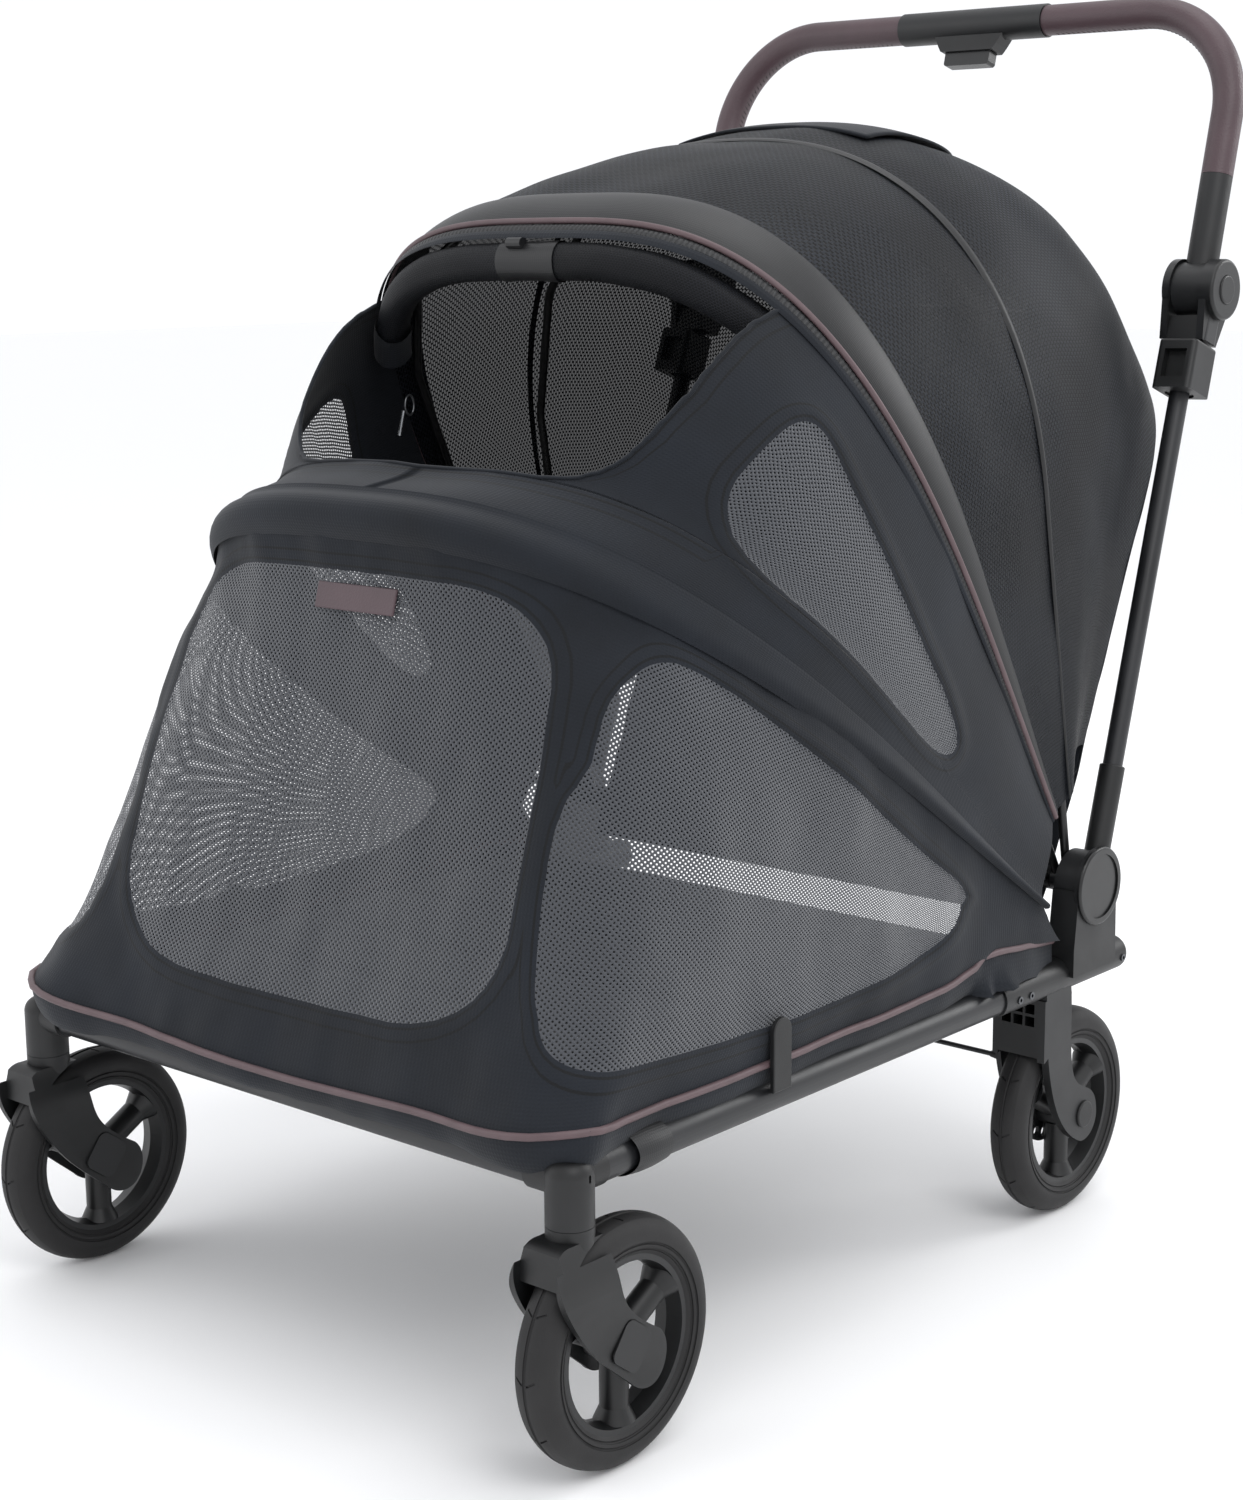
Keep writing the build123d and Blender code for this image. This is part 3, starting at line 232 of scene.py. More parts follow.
def outline(half, straight, top, square, start, count):
    """Half an arch, evenly spaced from its foot on the left side to the crown."""
    turns = np.radians(np.linspace(0, 90, 120))
    x = half * np.clip(np.cos(turns), 0, 1) ** (2 / square)
    r = straight + (top - straight) * np.sin(turns) ** (2 / square)
    x, r = np.r_[half, x], np.r_[start, r]
    run = np.r_[0, np.cumsum(np.hypot(np.diff(x), np.diff(r)))]
    even = np.linspace(0, run[-1], count)
    return np.interp(even, run, x), np.interp(even, run, r)


def smooth_rows(knots, places):
    """Smoothly interpolates rows of numbers over the first number of each row."""
    knots = np.array(knots, float)
    t = knots[:, 0]
    slopes = np.gradient(knots, t, axis=0)
    result = []
    for p in places:
        k = int(np.clip(np.searchsorted(t, p) - 1, 0, len(t) - 2))
        h = t[k + 1] - t[k]
        s = (p - t[k]) / h
        a, b = knots[k], knots[k + 1]
        ma, mb = slopes[k] * h, slopes[k + 1] * h
        result.append((2 * s**3 - 3 * s**2 + 1) * a + (s**3 - 2 * s**2 + s) * ma
                      + (3 * s**2 - 2 * s**3) * b + (s**3 - s**2) * mb)
    return np.array(result)


def fan(knots, places, count):
    """Points of a fan of arches. A knot is slope, origin ahead, origin z, half width, straight side,
    top, squareness and foot; the result has a row for each slope, from the left foot over to the right."""
    rows = []
    for slope, ahead, height, half, straight, top, square, start in smooth_rows(knots, places):
        x, r = outline(half, straight, top, square, start, count)
        x, r = np.r_[x, -x[-2::-1]], np.r_[r, r[-2::-1]]
        a = math.radians(slope)
        rows.append(np.stack([x, ahead - r * math.cos(a), height + r * math.sin(a)], 1))
    return np.array(rows)


def normals_of(points):
    across = np.gradient(points, axis=1)
    along = np.gradient(points, axis=0)
    normal = np.cross(along, across)
    return normal / np.maximum(np.linalg.norm(normal, axis=2, keepdims=True), 1e-9)


def signed_distance(u, v, corners, rounding):
    """Distance in millimetres to a rounded outline, negative inside it."""
    loop = np.array(corners, float)
    for _ in range(rounding):
        ahead = np.roll(loop, -1, axis=0)
        loop = np.stack([0.75 * loop + 0.25 * ahead, 0.25 * loop + 0.75 * ahead], 1).reshape(-1, 2)
    best = np.full(u.shape, 1e9)
    inside = np.zeros(u.shape, bool)
    for (ax, ay), (bx, by) in zip(loop, np.roll(loop, -1, axis=0)):
        dx, dy = bx - ax, by - ay
        t = np.clip(((u - ax) * dx + (v - ay) * dy) / (dx * dx + dy * dy + 1e-9), 0, 1)
        best = np.minimum(best, np.hypot(u - ax - t * dx, v - ay - t * dy))
        if ay != by:
            inside ^= ((ay > v) != (by > v)) & (u < dx * (v - ay) / dy + ax)
    return np.where(inside, -best, best)


def wrinkled(points, size, depth, stretch=(1.0, 1.0, 1.0), seed=0.0):
    """Soft folds of about a size, a few millimetres deep; stretch makes them longer one way."""
    moved = points.copy()
    normal = normals_of(points)
    scale = np.array(stretch) / size
    for row in range(points.shape[0]):
        for col in range(points.shape[1]):
            p = Vector(points[row, col] * scale) + Vector((seed, seed, seed))
            fold = noise.noise(p) + 0.5 * noise.noise(p * 2.1)
            moved[row, col] += normal[row, col] * depth * fold
    return moved


def sheet_mesh(name, points, attributes=None, keep=None):
    """A grid of points in millimetres as a mesh with a UV map in metres along the cloth; keep tells
    which of its quads are there."""
    rows, cols = points.shape[:2]
    places = points.reshape(-1, 3) * MM
    places[:, 1] += STEM_Y
    index = np.arange(rows * cols).reshape(rows, cols)
    quads = np.stack([index[:-1, :-1], index[1:, :-1], index[1:, 1:], index[:-1, 1:]], -1)
    quads = quads.reshape(-1, 4) if keep is None else quads[keep]
    mesh = bpy.data.meshes.new(name)
    mesh.from_pydata(places.tolist(), [], quads.tolist())
    run_u = np.cumsum(np.r_[0, np.linalg.norm(np.diff(points[rows // 2], axis=0), axis=1)]) * MM
    run_v = np.cumsum(np.r_[0, np.linalg.norm(np.diff(points[:, cols // 2], axis=0), axis=1)]) * MM
    uv = mesh.uv_layers.new(name="cloth")
    grid = np.stack(np.meshgrid(run_u, run_v), -1).reshape(-1, 2)
    uv.data.foreach_set("uv", grid[quads.reshape(-1)].reshape(-1))
    for key, values in (attributes or {}).items():
        layer = mesh.attributes.new(key, "FLOAT", "POINT")
        layer.data.foreach_set("value", np.ascontiguousarray(values, np.float32).reshape(-1))
    mesh.update()
    piece = bpy.data.objects.new(name, mesh)
    bpy.context.scene.collection.objects.link(piece)
    for face in mesh.polygons:
        face.use_smooth = True
    return piece


def select_only(piece):
    bpy.ops.object.select_all(action="DESELECT")
    piece.select_set(True)
    bpy.context.view_layer.objects.active = piece


def thicken(piece, millimetres):
    """Gives a sheet its cloth thickness, towards its inside."""
    select_only(piece)
    wall = piece.modifiers.new("cloth_wall", "SOLIDIFY")
    wall.thickness = millimetres * MM
    wall.offset = -1
    bpy.ops.object.modifier_apply(modifier=wall.name)


def rope(name, points, radius, material, closed=False, resolution=4):
    """A round cord of cloth, such as piping, along points in millimetres, as a mesh."""
    curve = bpy.data.curves.new(name, "CURVE")
    curve.dimensions = "3D"
    curve.bevel_depth = radius * MM
    curve.bevel_resolution = resolution
    curve.use_fill_caps = True
    spline = curve.splines.new("POLY")
    spline.points.add(len(points) - 1)
    for target, p in zip(spline.points, points):
        target.co = (*at(*p), 1)
    spline.use_cyclic_u = closed
    mesh = bpy.data.meshes.new_from_object(bpy.data.objects.new(name + "_path", curve))
    mesh.name = name
    piece = bpy.data.objects.new(name, mesh)
    bpy.context.scene.collection.objects.link(piece)
    mesh.materials.clear()
    mesh.materials.append(material)
    for face in mesh.polygons:
        face.use_smooth = True
    return piece


def weave_bump(tree, uv, pitch_mm, strength):
    """Over-and-under threads at a pitch, as a height."""
    warp = node(tree, "ShaderNodeTexWave", {"Scale": 1 / (pitch_mm * MM) / 6.283, "bands_direction": "X",
                                            "Distortion": 1.5, "Detail": 2.0}, Vector=uv)
    weft = node(tree, "ShaderNodeTexWave", {"Scale": 1 / (pitch_mm * MM) / 6.283, "bands_direction": "Y",
                                            "Distortion": 1.5, "Detail": 2.0}, Vector=uv)
    both = node(tree, "ShaderNodeMath", {"operation": "MULTIPLY"},
                i0=warp.outputs["Fac"], i1=weft.outputs["Fac"])
    return node(tree, "ShaderNodeBump", {"Strength": strength, "Distance": 0.0005}, Height=both.outputs[0])


def cabin_cloth(name, net=True):
    """Charcoal polyester with a faint heather; inside the window attribute it turns into open net."""
    material, tree, shader = new_material(name)
    uv = node(tree, "ShaderNodeUVMap", {"uv_map": "cloth"}).outputs[0]
    place = node(tree, "ShaderNodeTexCoord").outputs["Object"]
    heather = node(tree, "ShaderNodeTexNoise", {"Scale": 900.0, "Detail": 2.0}, Vector=uv)
    cloud = node(tree, "ShaderNodeTexNoise", {"Scale": 9.0, "Detail": 5.0, "Roughness": 0.6}, Vector=place)
    mixed = node(tree, "ShaderNodeMath", {"operation": "MULTIPLY_ADD", 1: 0.55}, i0=heather.outputs["Fac"],
                 i2=cloud.outputs["Fac"])
    level = node(tree, "ShaderNodeMapRange", {"From Min": 0.45, "From Max": 1.1}, Value=mixed.outputs[0])
    tone = node(tree, "ShaderNodeMix", {"data_type": "RGBA", 6: linear("#0d1015"), 7: linear("#191e26")},
                i0=level.outputs[0])
    bump = weave_bump(tree, uv, 1.6, 0.35)
    tree.links.new(bump.outputs[0], shader.inputs["Normal"])
    shader.inputs["Roughness"].default_value = 0.82
    shader.inputs["Sheen Weight"].default_value = 0.10
    shader.inputs["Sheen Roughness"].default_value = 0.45
    shader.inputs["Specular IOR Level"].default_value = 0.3
    edge = node(tree, "ShaderNodeAttribute", {"attribute_name": "window"})
    distance = edge.outputs["Fac"]
    # two stitched rows run round every window, 4 and 13 mm outside the net
    rows = []
    for row_mm in (4.0, 13.0):
        off = node(tree, "ShaderNodeMath", {"operation": "SUBTRACT", 1: row_mm}, i0=distance)
        near = node(tree, "ShaderNodeMath", {"operation": "ABSOLUTE"}, i0=off.outputs[0])
        rows.append(node(tree, "ShaderNodeMath", {"operation": "LESS_THAN", 1: 0.9}, i0=near.outputs[0]))
    seam = node(tree, "ShaderNodeMath", {"operation": "MAXIMUM"},
                i0=rows[0].outputs[0], i1=rows[1].outputs[0])
    inked = node(tree, "ShaderNodeMix", {"data_type": "RGBA", 7: linear("#0c0e11")}, i0=seam.outputs[0],
                 i6=tone.outputs[2])
    tree.links.new(inked.outputs[2], shader.inputs["Base Color"])
    if net:
        threads, holes = net_shader(tree, uv, "#35383e", 3.4, 0.30)
        clear = node(tree, "ShaderNodeBsdfTransparent")
        see = node(tree, "ShaderNodeMixShader", i0=holes, i1=threads, i2=clear.outputs[0])
        inner = node(tree, "ShaderNodeMath", {"operation": "LESS_THAN", 1: 0.0}, i0=distance)
        whole = node(tree, "ShaderNodeMixShader", i0=inner.outputs[0],
                     i1=shader.outputs[0], i2=see.outputs[0])
        tree.links.new(whole.outputs[0], tree.nodes["Material Output"].inputs["Surface"])
    return material


def net_shader(tree, uv, color, pitch_mm, open_share):
    """Knitted net: diamond holes at a pitch. Drawn a little coarser than the real 2 mm net, to show."""
    turned = node(tree, "ShaderNodeMapping", {"Rotation": (0, 0, math.radians(45)),
                                              "Scale": (1 / (pitch_mm * MM),) * 3}, Vector=uv)
    split = node(tree, "ShaderNodeSeparateXYZ", i0=turned.outputs[0])
    waves = []
    for axis in (0, 1):
        phase = node(tree, "ShaderNodeMath", {"operation": "MULTIPLY", 1: 2 * math.pi},
                     i0=split.outputs[axis])
        waves.append(node(tree, "ShaderNodeMath", {"operation": "COSINE"}, i0=phase.outputs[0]))
    summed = node(tree, "ShaderNodeMath", {"operation": "ADD"},
                  i0=waves[0].outputs[0], i1=waves[1].outputs[0])
    rim_of_hole = 1.6 - 2.6 * open_share
    holes = node(tree, "ShaderNodeMapRange", {"From Min": rim_of_hole, "From Max": 2.0 - 2.6 * open_share},
                 Value=summed.outputs[0])
    cloth = node(tree, "ShaderNodeBsdfPrincipled", {"Base Color": linear(color), "Roughness": 0.6,
                                                    "Sheen Weight": 0.3})
    bump = node(tree, "ShaderNodeBump", {"Strength": 0.5, "Distance": 0.0006, "invert": True},
                Height=summed.outputs[0])
    tree.links.new(bump.outputs[0], cloth.inputs["Normal"])
    return cloth.outputs[0], holes.outputs[0]


cabin_fabric = cabin_cloth("charcoal_polyester")


def fold_rows(piece, body_a, body_b, shares):
    """Fabric between two hoops: each vertex follows the fold by its own share of the fan's angle."""
    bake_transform(piece, body_a, body_b, start=HINGE, end=HINGE + Vector((0, -0.3, 0.5)))
    weights = piece.data.attributes["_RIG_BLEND"]
    weights.data.foreach_set("value", np.ascontiguousarray(shares, np.float32).reshape(-1))


# ---------------------------------------------------------------- lower cabin and its windows
# The front, the corners and both sides are one sheet, from the piping round the floor up to the
# padded ridge over the front hoop. It folds down between the frame and the ridge hoop.
RIDGE_SLOPE = 34.8
FRONT_FOOT = (-8.0, 266.0)
FRONT_TOP = (91.0, 630.0)


def front_reach(slope, ahead, height):
    """Distance along a slope from an origin to the slanted front."""
    a = math.radians(slope)
    dy, dz = FRONT_TOP[0] - FRONT_FOOT[0], FRONT_TOP[1] - FRONT_FOOT[1]
    return ((FRONT_FOOT[0] - ahead) * -dz + (FRONT_FOOT[1] - height) * dy) / (
        math.cos(a) * dz + math.sin(a) * dy)


def smooth_path(points, count):
    """An even, rounded path through a few points."""
    points = np.array(points, float)
    run = np.r_[0, np.cumsum(np.linalg.norm(np.diff(points, axis=0), axis=1))]
    fine = smooth_rows(np.c_[run, points], np.linspace(0, run[-1], 1200))[:, 1:]
    steps = np.r_[0, np.cumsum(np.linalg.norm(np.diff(fine, axis=0), axis=1))]
    even = np.linspace(0, steps[-1], count)
    return np.stack([np.interp(even, steps, fine[:, k]) for k in range(3)], 1)


def mirrored(points):
    """A path from the left side over the middle, continued on the right side."""
    return [*points, *[(-x, y, z) for x, y, z in points[-2::-1]]]


lower_knots = [(slope, 656.0, height, half, straight, front_reach(slope, 656, height) + slack, square, start)
               for slope, height, half, straight, slack, square, start in (
    (0, 266, 313, 250, 0, 10.0, 22), (7, 266, 314, 250, 0, 8.0, 24), (14, 267, 314, 250, 0, 6.0, 30),
    (21, 268, 313, 245, 0, 4.8, 36), (27, 270, 312, 238, 0, 4.0, 44), (30.5, 271, 312, 232, 1, 3.5, 50),
    (32.8, 271, 312, 227, 7, 3.1, 55))]
lower_knots.append((RIDGE_SLOPE, 656.0, 272.0, 312.0, 221.0, 710.0, 2.66, 60.0))
ROWS, HALF = 96, 115
COLS = 2 * HALF - 1
lower = fan(lower_knots, np.linspace(0, RIDGE_SLOPE, ROWS), HALF)
base_edge = smooth_path(mirrored([(304, 634, 269), (309, 590, 273), (311, 540, 277), (312, 464, 268),
                                  (312, 350, 264), (312, 150, 263), (313, 40, 265), (319, 2, 268),
                                  (300, -14, 265), (150, -19, 256), (0, -20, 251)]), COLS)
fade = np.clip(1 - np.arange(ROWS) / 26, 0, 1)[:, None, None] ** 2
lower += (base_edge - lower[0]) * fade
lower = wrinkled(lower, 130.0, 4.2, (1.0, 1.0, 0.5), 3.1)
lower = wrinkled(lower, 48.0, 2.7, (1.0, 0.7, 0.45), 8.7)
NO_WINDOW = 70.0  # millimetres from a window's edge, from which the cloth is plain
side_window = [(-46, 336), (-36, 440), (-4, 545), (34, 577), (80, 568), (184, 500), (350, 396), (446, 336),
               (398, 303), (272, 290), (152, 293), (20, 301), (-32, 308)]
front_window = [(-212, 314), (-216, 470), (-196, 624), (0, 631), (196, 624), (216, 470), (218, 314), (0, 304)]
steps = np.linalg.norm(np.diff(lower, axis=1), axis=2)
along_row = np.concatenate([np.zeros((ROWS, 1)), np.cumsum(steps, axis=1)], axis=1)
facing = np.abs(normals_of(lower)[..., 0])
corners = [row[np.argmax((turned < 0.707) & (np.arange(COLS) > 30))]
           for row, turned in zip(along_row, facing)]
corners = np.convolve(np.pad(corners, 6, mode="edge"), np.ones(13) / 13, mode="valid")
nearer = np.minimum(along_row, along_row[:, -1:] - along_row)
on_side = signed_distance(corners[:, None] - nearer, lower[..., 2], side_window, 3)
on_front = signed_distance(lower[..., 0], lower[..., 2], front_window, 3)
on_front = np.where(np.abs(lower[..., 0]) < 250, on_front, NO_WINDOW)
lower_window = np.minimum(np.minimum(on_side, on_front), NO_WINDOW)
border = np.exp(-((lower_window - 8.0) / 7.0) ** 2)[..., None]
lower += normals_of(lower) * (border * 1.6 - (lower_window[..., None] < 0) * 1.0)
cabin_lower = sheet_mesh("cabin_lower", lower, {"window": lower_window})
cabin_lower.data.materials.append(cabin_fabric)
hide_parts("lower_cabin")
fold_rows(cabin_lower, "frame", "ridge", np.repeat(np.linspace(0, 1, ROWS), COLS))

# The mauve piping along the bottom seam, and the skirt below it that wraps the frame's tubes.
piping_cloth, tree, shader = new_material("mauve_piping_tape")
place = node(tree, "ShaderNodeTexCoord").outputs["Object"]
cloud = node(tree, "ShaderNodeTexNoise", {"Scale": 60.0, "Detail": 3.0}, Vector=place)
tone = node(tree, "ShaderNodeMix", {"data_type": "RGBA", 6: linear("#4a3a3d"), 7: linear("#604e51")},
            i0=cloud.outputs["Fac"])
grain = node(tree, "ShaderNodeTexNoise", {"Scale": 1400.0}, Vector=place)
bump = node(tree, "ShaderNodeBump", {"Strength": 0.3, "Distance": 0.0004}, Height=grain.outputs["Fac"])
shader.inputs["Roughness"].default_value = 0.5
tree.links.new(tone.outputs[2], shader.inputs["Base Color"])
tree.links.new(bump.outputs[0], shader.inputs["Normal"])
outward = normals_of(lower)[2]
base_line = lower[0] + outward * 1.5
base_piping = rope("base_piping", base_line[::2], 3.0, piping_cloth)
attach(base_piping, "frame")

skirt_rows = []
for drop, inward in ((-1, 0.0), (3, 0.5), (8, 1.5), (14, 3.0), (20, 5.5), (25, 9.0), (29, 14.0)):
    row = base_line.copy()
    row[:, 2] -= drop * np.clip((base_line[:, 2] - 225) / 40, 0.75, 1.1)
    row -= outward * np.array([1, 1, 0.2]) * inward
    skirt_rows.append(row)
skirt = wrinkled(np.array(skirt_rows[::-1]), 60.0, 2.0, seed=4.4)
base_skirt = sheet_mesh("base_skirt", skirt)
base_skirt.data.materials.append(cabin_fabric)
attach(base_skirt, "frame")

# ---------------------------------------------------------------- front panel and its top opening
# From the ridge the cloth goes on up to the double-stitched rim of the top opening; on each side
# of the opening it runs up to the band hoop, with a net window in it.
RIM_SLOPE, BAND_SLOPE = 41.0, 57.6
panel_knots = [(34.8, 656, 272, 312, 221, 710, 2.66, 60), (36.5, 656, 273, 311, 219, 697, 2.8, 62),
               (41, 658, 276, 308, 215, 652, 3.3, 66), (46, 666, 288, 306, 210, 668, 3.4, 69),
               (51, 675, 300, 303, 205, 684, 3.4, 72), (57.6, 684, 310, 297, 186, 689, 3.3, 79)]
panel_slopes = np.r_[np.linspace(RIDGE_SLOPE, RIM_SLOPE, 14),
                     RIM_SLOPE + (BAND_SLOPE - RIM_SLOPE) * np.linspace(0, 1, 60)[1:] ** 1.5]
fine = fan(panel_knots, panel_slopes, 601)[:, :601]
PANEL_COLS = 90
cut = np.interp(panel_slopes, (41.0, 41.15, 41.6, 42.4, 43.4, 45.1, 48.1, 51.1, 54.2, 57.6),
                (0, 120, 150, 168, 182, 197, 211, 217, 220, 226))
cut[panel_slopes <= RIM_SLOPE] = 0
panel = []
for row, limit in zip(fine, cut):
    row = row[row[:, 0] >= limit - 0.01]
    run = np.r_[0, np.cumsum(np.linalg.norm(np.diff(row, axis=0), axis=1))]
    even = np.linspace(0, run[-1], PANEL_COLS)
    row = np.stack([np.interp(even, run, row[:, k]) for k in range(3)], 1)
    panel.append(np.r_[row, row[::-1] * [-1, 1, 1]])
panel = np.array(panel)
upper_window = [(245, 640), (243, 690), (280, 722), (312, 742), (336, 738), (358, 680), (412, 582),
                (478, 484), (470, 458), (430, 474), (337, 562)]
from_window = signed_distance(panel[..., 1], panel[..., 2], upper_window, 2)
from_window = np.where(np.abs(panel[..., 0]) > 230, from_window, NO_WINDOW)
from_rim = np.where(panel_slopes[:, None] <= RIM_SLOPE, (RIM_SLOPE - panel_slopes[:, None]) * 11.2 + 0.5,
                    np.abs(np.abs(panel[..., 0]) - cut[:, None]) * 1.25 + 0.5)
from_rim = np.where(np.abs(panel[..., 0]) < 250, from_rim, NO_WINDOW)
panel_window = np.minimum(np.minimum(from_window, np.maximum(from_rim, 0.5)), NO_WINDOW)
panel += normals_of(panel) * 3.0 * np.array([noise.noise(Vector(p) / 90 + Vector((7, 2, 1)))
                                             for p in panel.reshape(-1, 3)]).reshape(*panel.shape[:2], 1)
border = np.exp(-((from_window - 8.0) / 7.0) ** 2)[..., None]
panel += normals_of(panel) * (border * 1.4 - (from_window[..., None] < 0) * 1.0)
kept = np.ones((len(panel_slopes) - 1, 2 * PANEL_COLS - 1), bool)
kept[13:, PANEL_COLS - 1] = False
cabin_panel = sheet_mesh("cabin_panel", panel, {"window": panel_window}, kept)
cabin_panel.data.materials.append(cabin_fabric)
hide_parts("front_panel")
share = (panel_slopes - RIDGE_SLOPE) / (BAND_SLOPE - RIDGE_SLOPE)
fold_rows(cabin_panel, "ridge", "band", np.repeat(share, 2 * PANEL_COLS))
rim_line = np.r_[panel[13:, PANEL_COLS - 1][::-1], panel[13:, PANEL_COLS][1:]]
rim_share = np.r_[share[13:][::-1], share[13:][1:]]
rim_hem = rope("opening_rim_hem", rim_line, 1.8, cabin_fabric, resolution=2)
hem_places = [np.array([v.co.x, v.co.y - STEM_Y, v.co.z]) / MM for v in rim_hem.data.vertices]
near = np.array([np.argmin(np.linalg.norm(rim_line - place, axis=1)) for place in hem_places])
fold_rows(rim_hem, "ridge", "band", rim_share[near])

# ---------------------------------------------------------------- hoop pockets, zip and patch
# The front hoop runs in a padded pocket, the second hoop in a wider satin band with mauve piping
# and a zip along its front edge, the third one behind a narrow binding.


def pocket(name, knots, slope_from, slope_to, lifts, body, material, count=130):
    """A strip along a hoop; lifts are its heights over the fabric, from its front edge to its back."""
    strip = fan(knots, np.linspace(slope_from, slope_to, len(lifts)), count)
    strip += normals_of(strip) * np.array(lifts)[:, None, None]
    piece = sheet_mesh(name, strip)
    piece.data.materials.append(material)
    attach(piece, body)
    return piece


ridge_knots = [lower_knots[-3], lower_knots[-2], panel_knots[0], panel_knots[1]]
ridge_pocket = pocket("ridge_pocket", ridge_knots, 33.6, 37.1,
       (0.2, 2.6, 4.4, 5.4, 5.8, 5.8, 5.4, 4.8, 4.0, 3.2, 2.4, 1.7, 1.1, 0.4), "ridge", cabin_fabric)
satin, tree, shader = new_material("satin_band")
uv = node(tree, "ShaderNodeUVMap", {"uv_map": "cloth"}).outputs[0]
place = node(tree, "ShaderNodeTexCoord").outputs["Object"]
cloud = node(tree, "ShaderNodeTexNoise", {"Scale": 35.0, "Detail": 4.0}, Vector=place)
tone = node(tree, "ShaderNodeMix", {"data_type": "RGBA", 6: linear("#060708"), 7: linear("#111215")},
            i0=cloud.outputs["Fac"])
tree.links.new(tone.outputs[2], shader.inputs["Base Color"])
tree.links.new(weave_bump(tree, uv, 1.1, 0.2).outputs[0], shader.inputs["Normal"])
shader.inputs["Roughness"].default_value = 0.46
band_knots = [(51, 675, 300, 303, 205, 684, 3.4, 72), (57.6, 684, 310, 297, 186, 689, 3.3, 79),
              (69.5, 684, 310, 297, 270, 676, 2.8, 80)]
band_pocket = pocket("band_pocket", band_knots, 57.7, 61.6,
                     (1.4, 2.6, 3.4, 3.8, 3.9, 3.8, 3.5, 3.0, 2.2, 0.8), "band", satin)
zip_tape, tree, shader = new_material("coil_zip_tape")
uv = node(tree, "ShaderNodeUVMap", {"uv_map": "cloth"}).outputs[0]
coil = node(tree, "ShaderNodeTexWave", {"Scale": 1 / 0.0024 / 6.283, "bands_direction": "X"}, Vector=uv)
tone = node(tree, "ShaderNodeMix", {"data_type": "RGBA", 6: linear("#0d0e10"), 7: linear("#242527")},
            i0=coil.outputs["Fac"])
bump = node(tree, "ShaderNodeBump", {"Strength": 0.8, "Distance": 0.0008}, Height=coil.outputs["Fac"])
tree.links.new(tone.outputs[2], shader.inputs["Base Color"])
tree.links.new(bump.outputs[0], shader.inputs["Normal"])
band_zip = pocket("band_zip", band_knots, 56.8, 57.35, (1.2, 2.2, 2.4, 1.4), "band", zip_tape)
zip_flap = pocket("band_zip_flap", band_knots, 56.1, 56.75, (0.6, 1.8, 2.2, 1.6), "band", cabin_fabric)
piping_line = fan(band_knots, [57.6, 57.61], 150)
piping_line = piping_line[0] + normals_of(piping_line)[0] * 2.6
band_piping = rope("band_piping", piping_line, 2.6, piping_cloth)
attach(band_piping, "band")

# A leatherette patch, blank, sewn on at the top edge of the front window.
slant = math.atan2(FRONT_TOP[0] - FRONT_FOOT[0], FRONT_TOP[1] - FRONT_FOOT[1])
bpy.ops.mesh.primitive_cube_add(size=1)
patch = bpy.context.object
patch.name = "front_patch"
patch.data.transform(Matrix.Translation(at(13, 81.5, 609)) @ Matrix.Rotation(-slant, 4, "X")
                     @ Matrix.Diagonal((0.088, 0.0024, 0.021, 1)))
round_off = patch.modifiers.new("rounded", "BEVEL")
round_off.width = 0.0011
round_off.segments = 3
bpy.ops.object.modifier_apply(modifier="rounded")
patch.data.materials.append(leather)
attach(patch, "ridge")

# ---------------------------------------------------------------- canopy of coarse spacer net
# Two panels of near-black spacer net with rows of small slots: one between the band and canopy
# hoops, one rounding down to the back. A solid cloth flap closes the vent on top of the rear one.


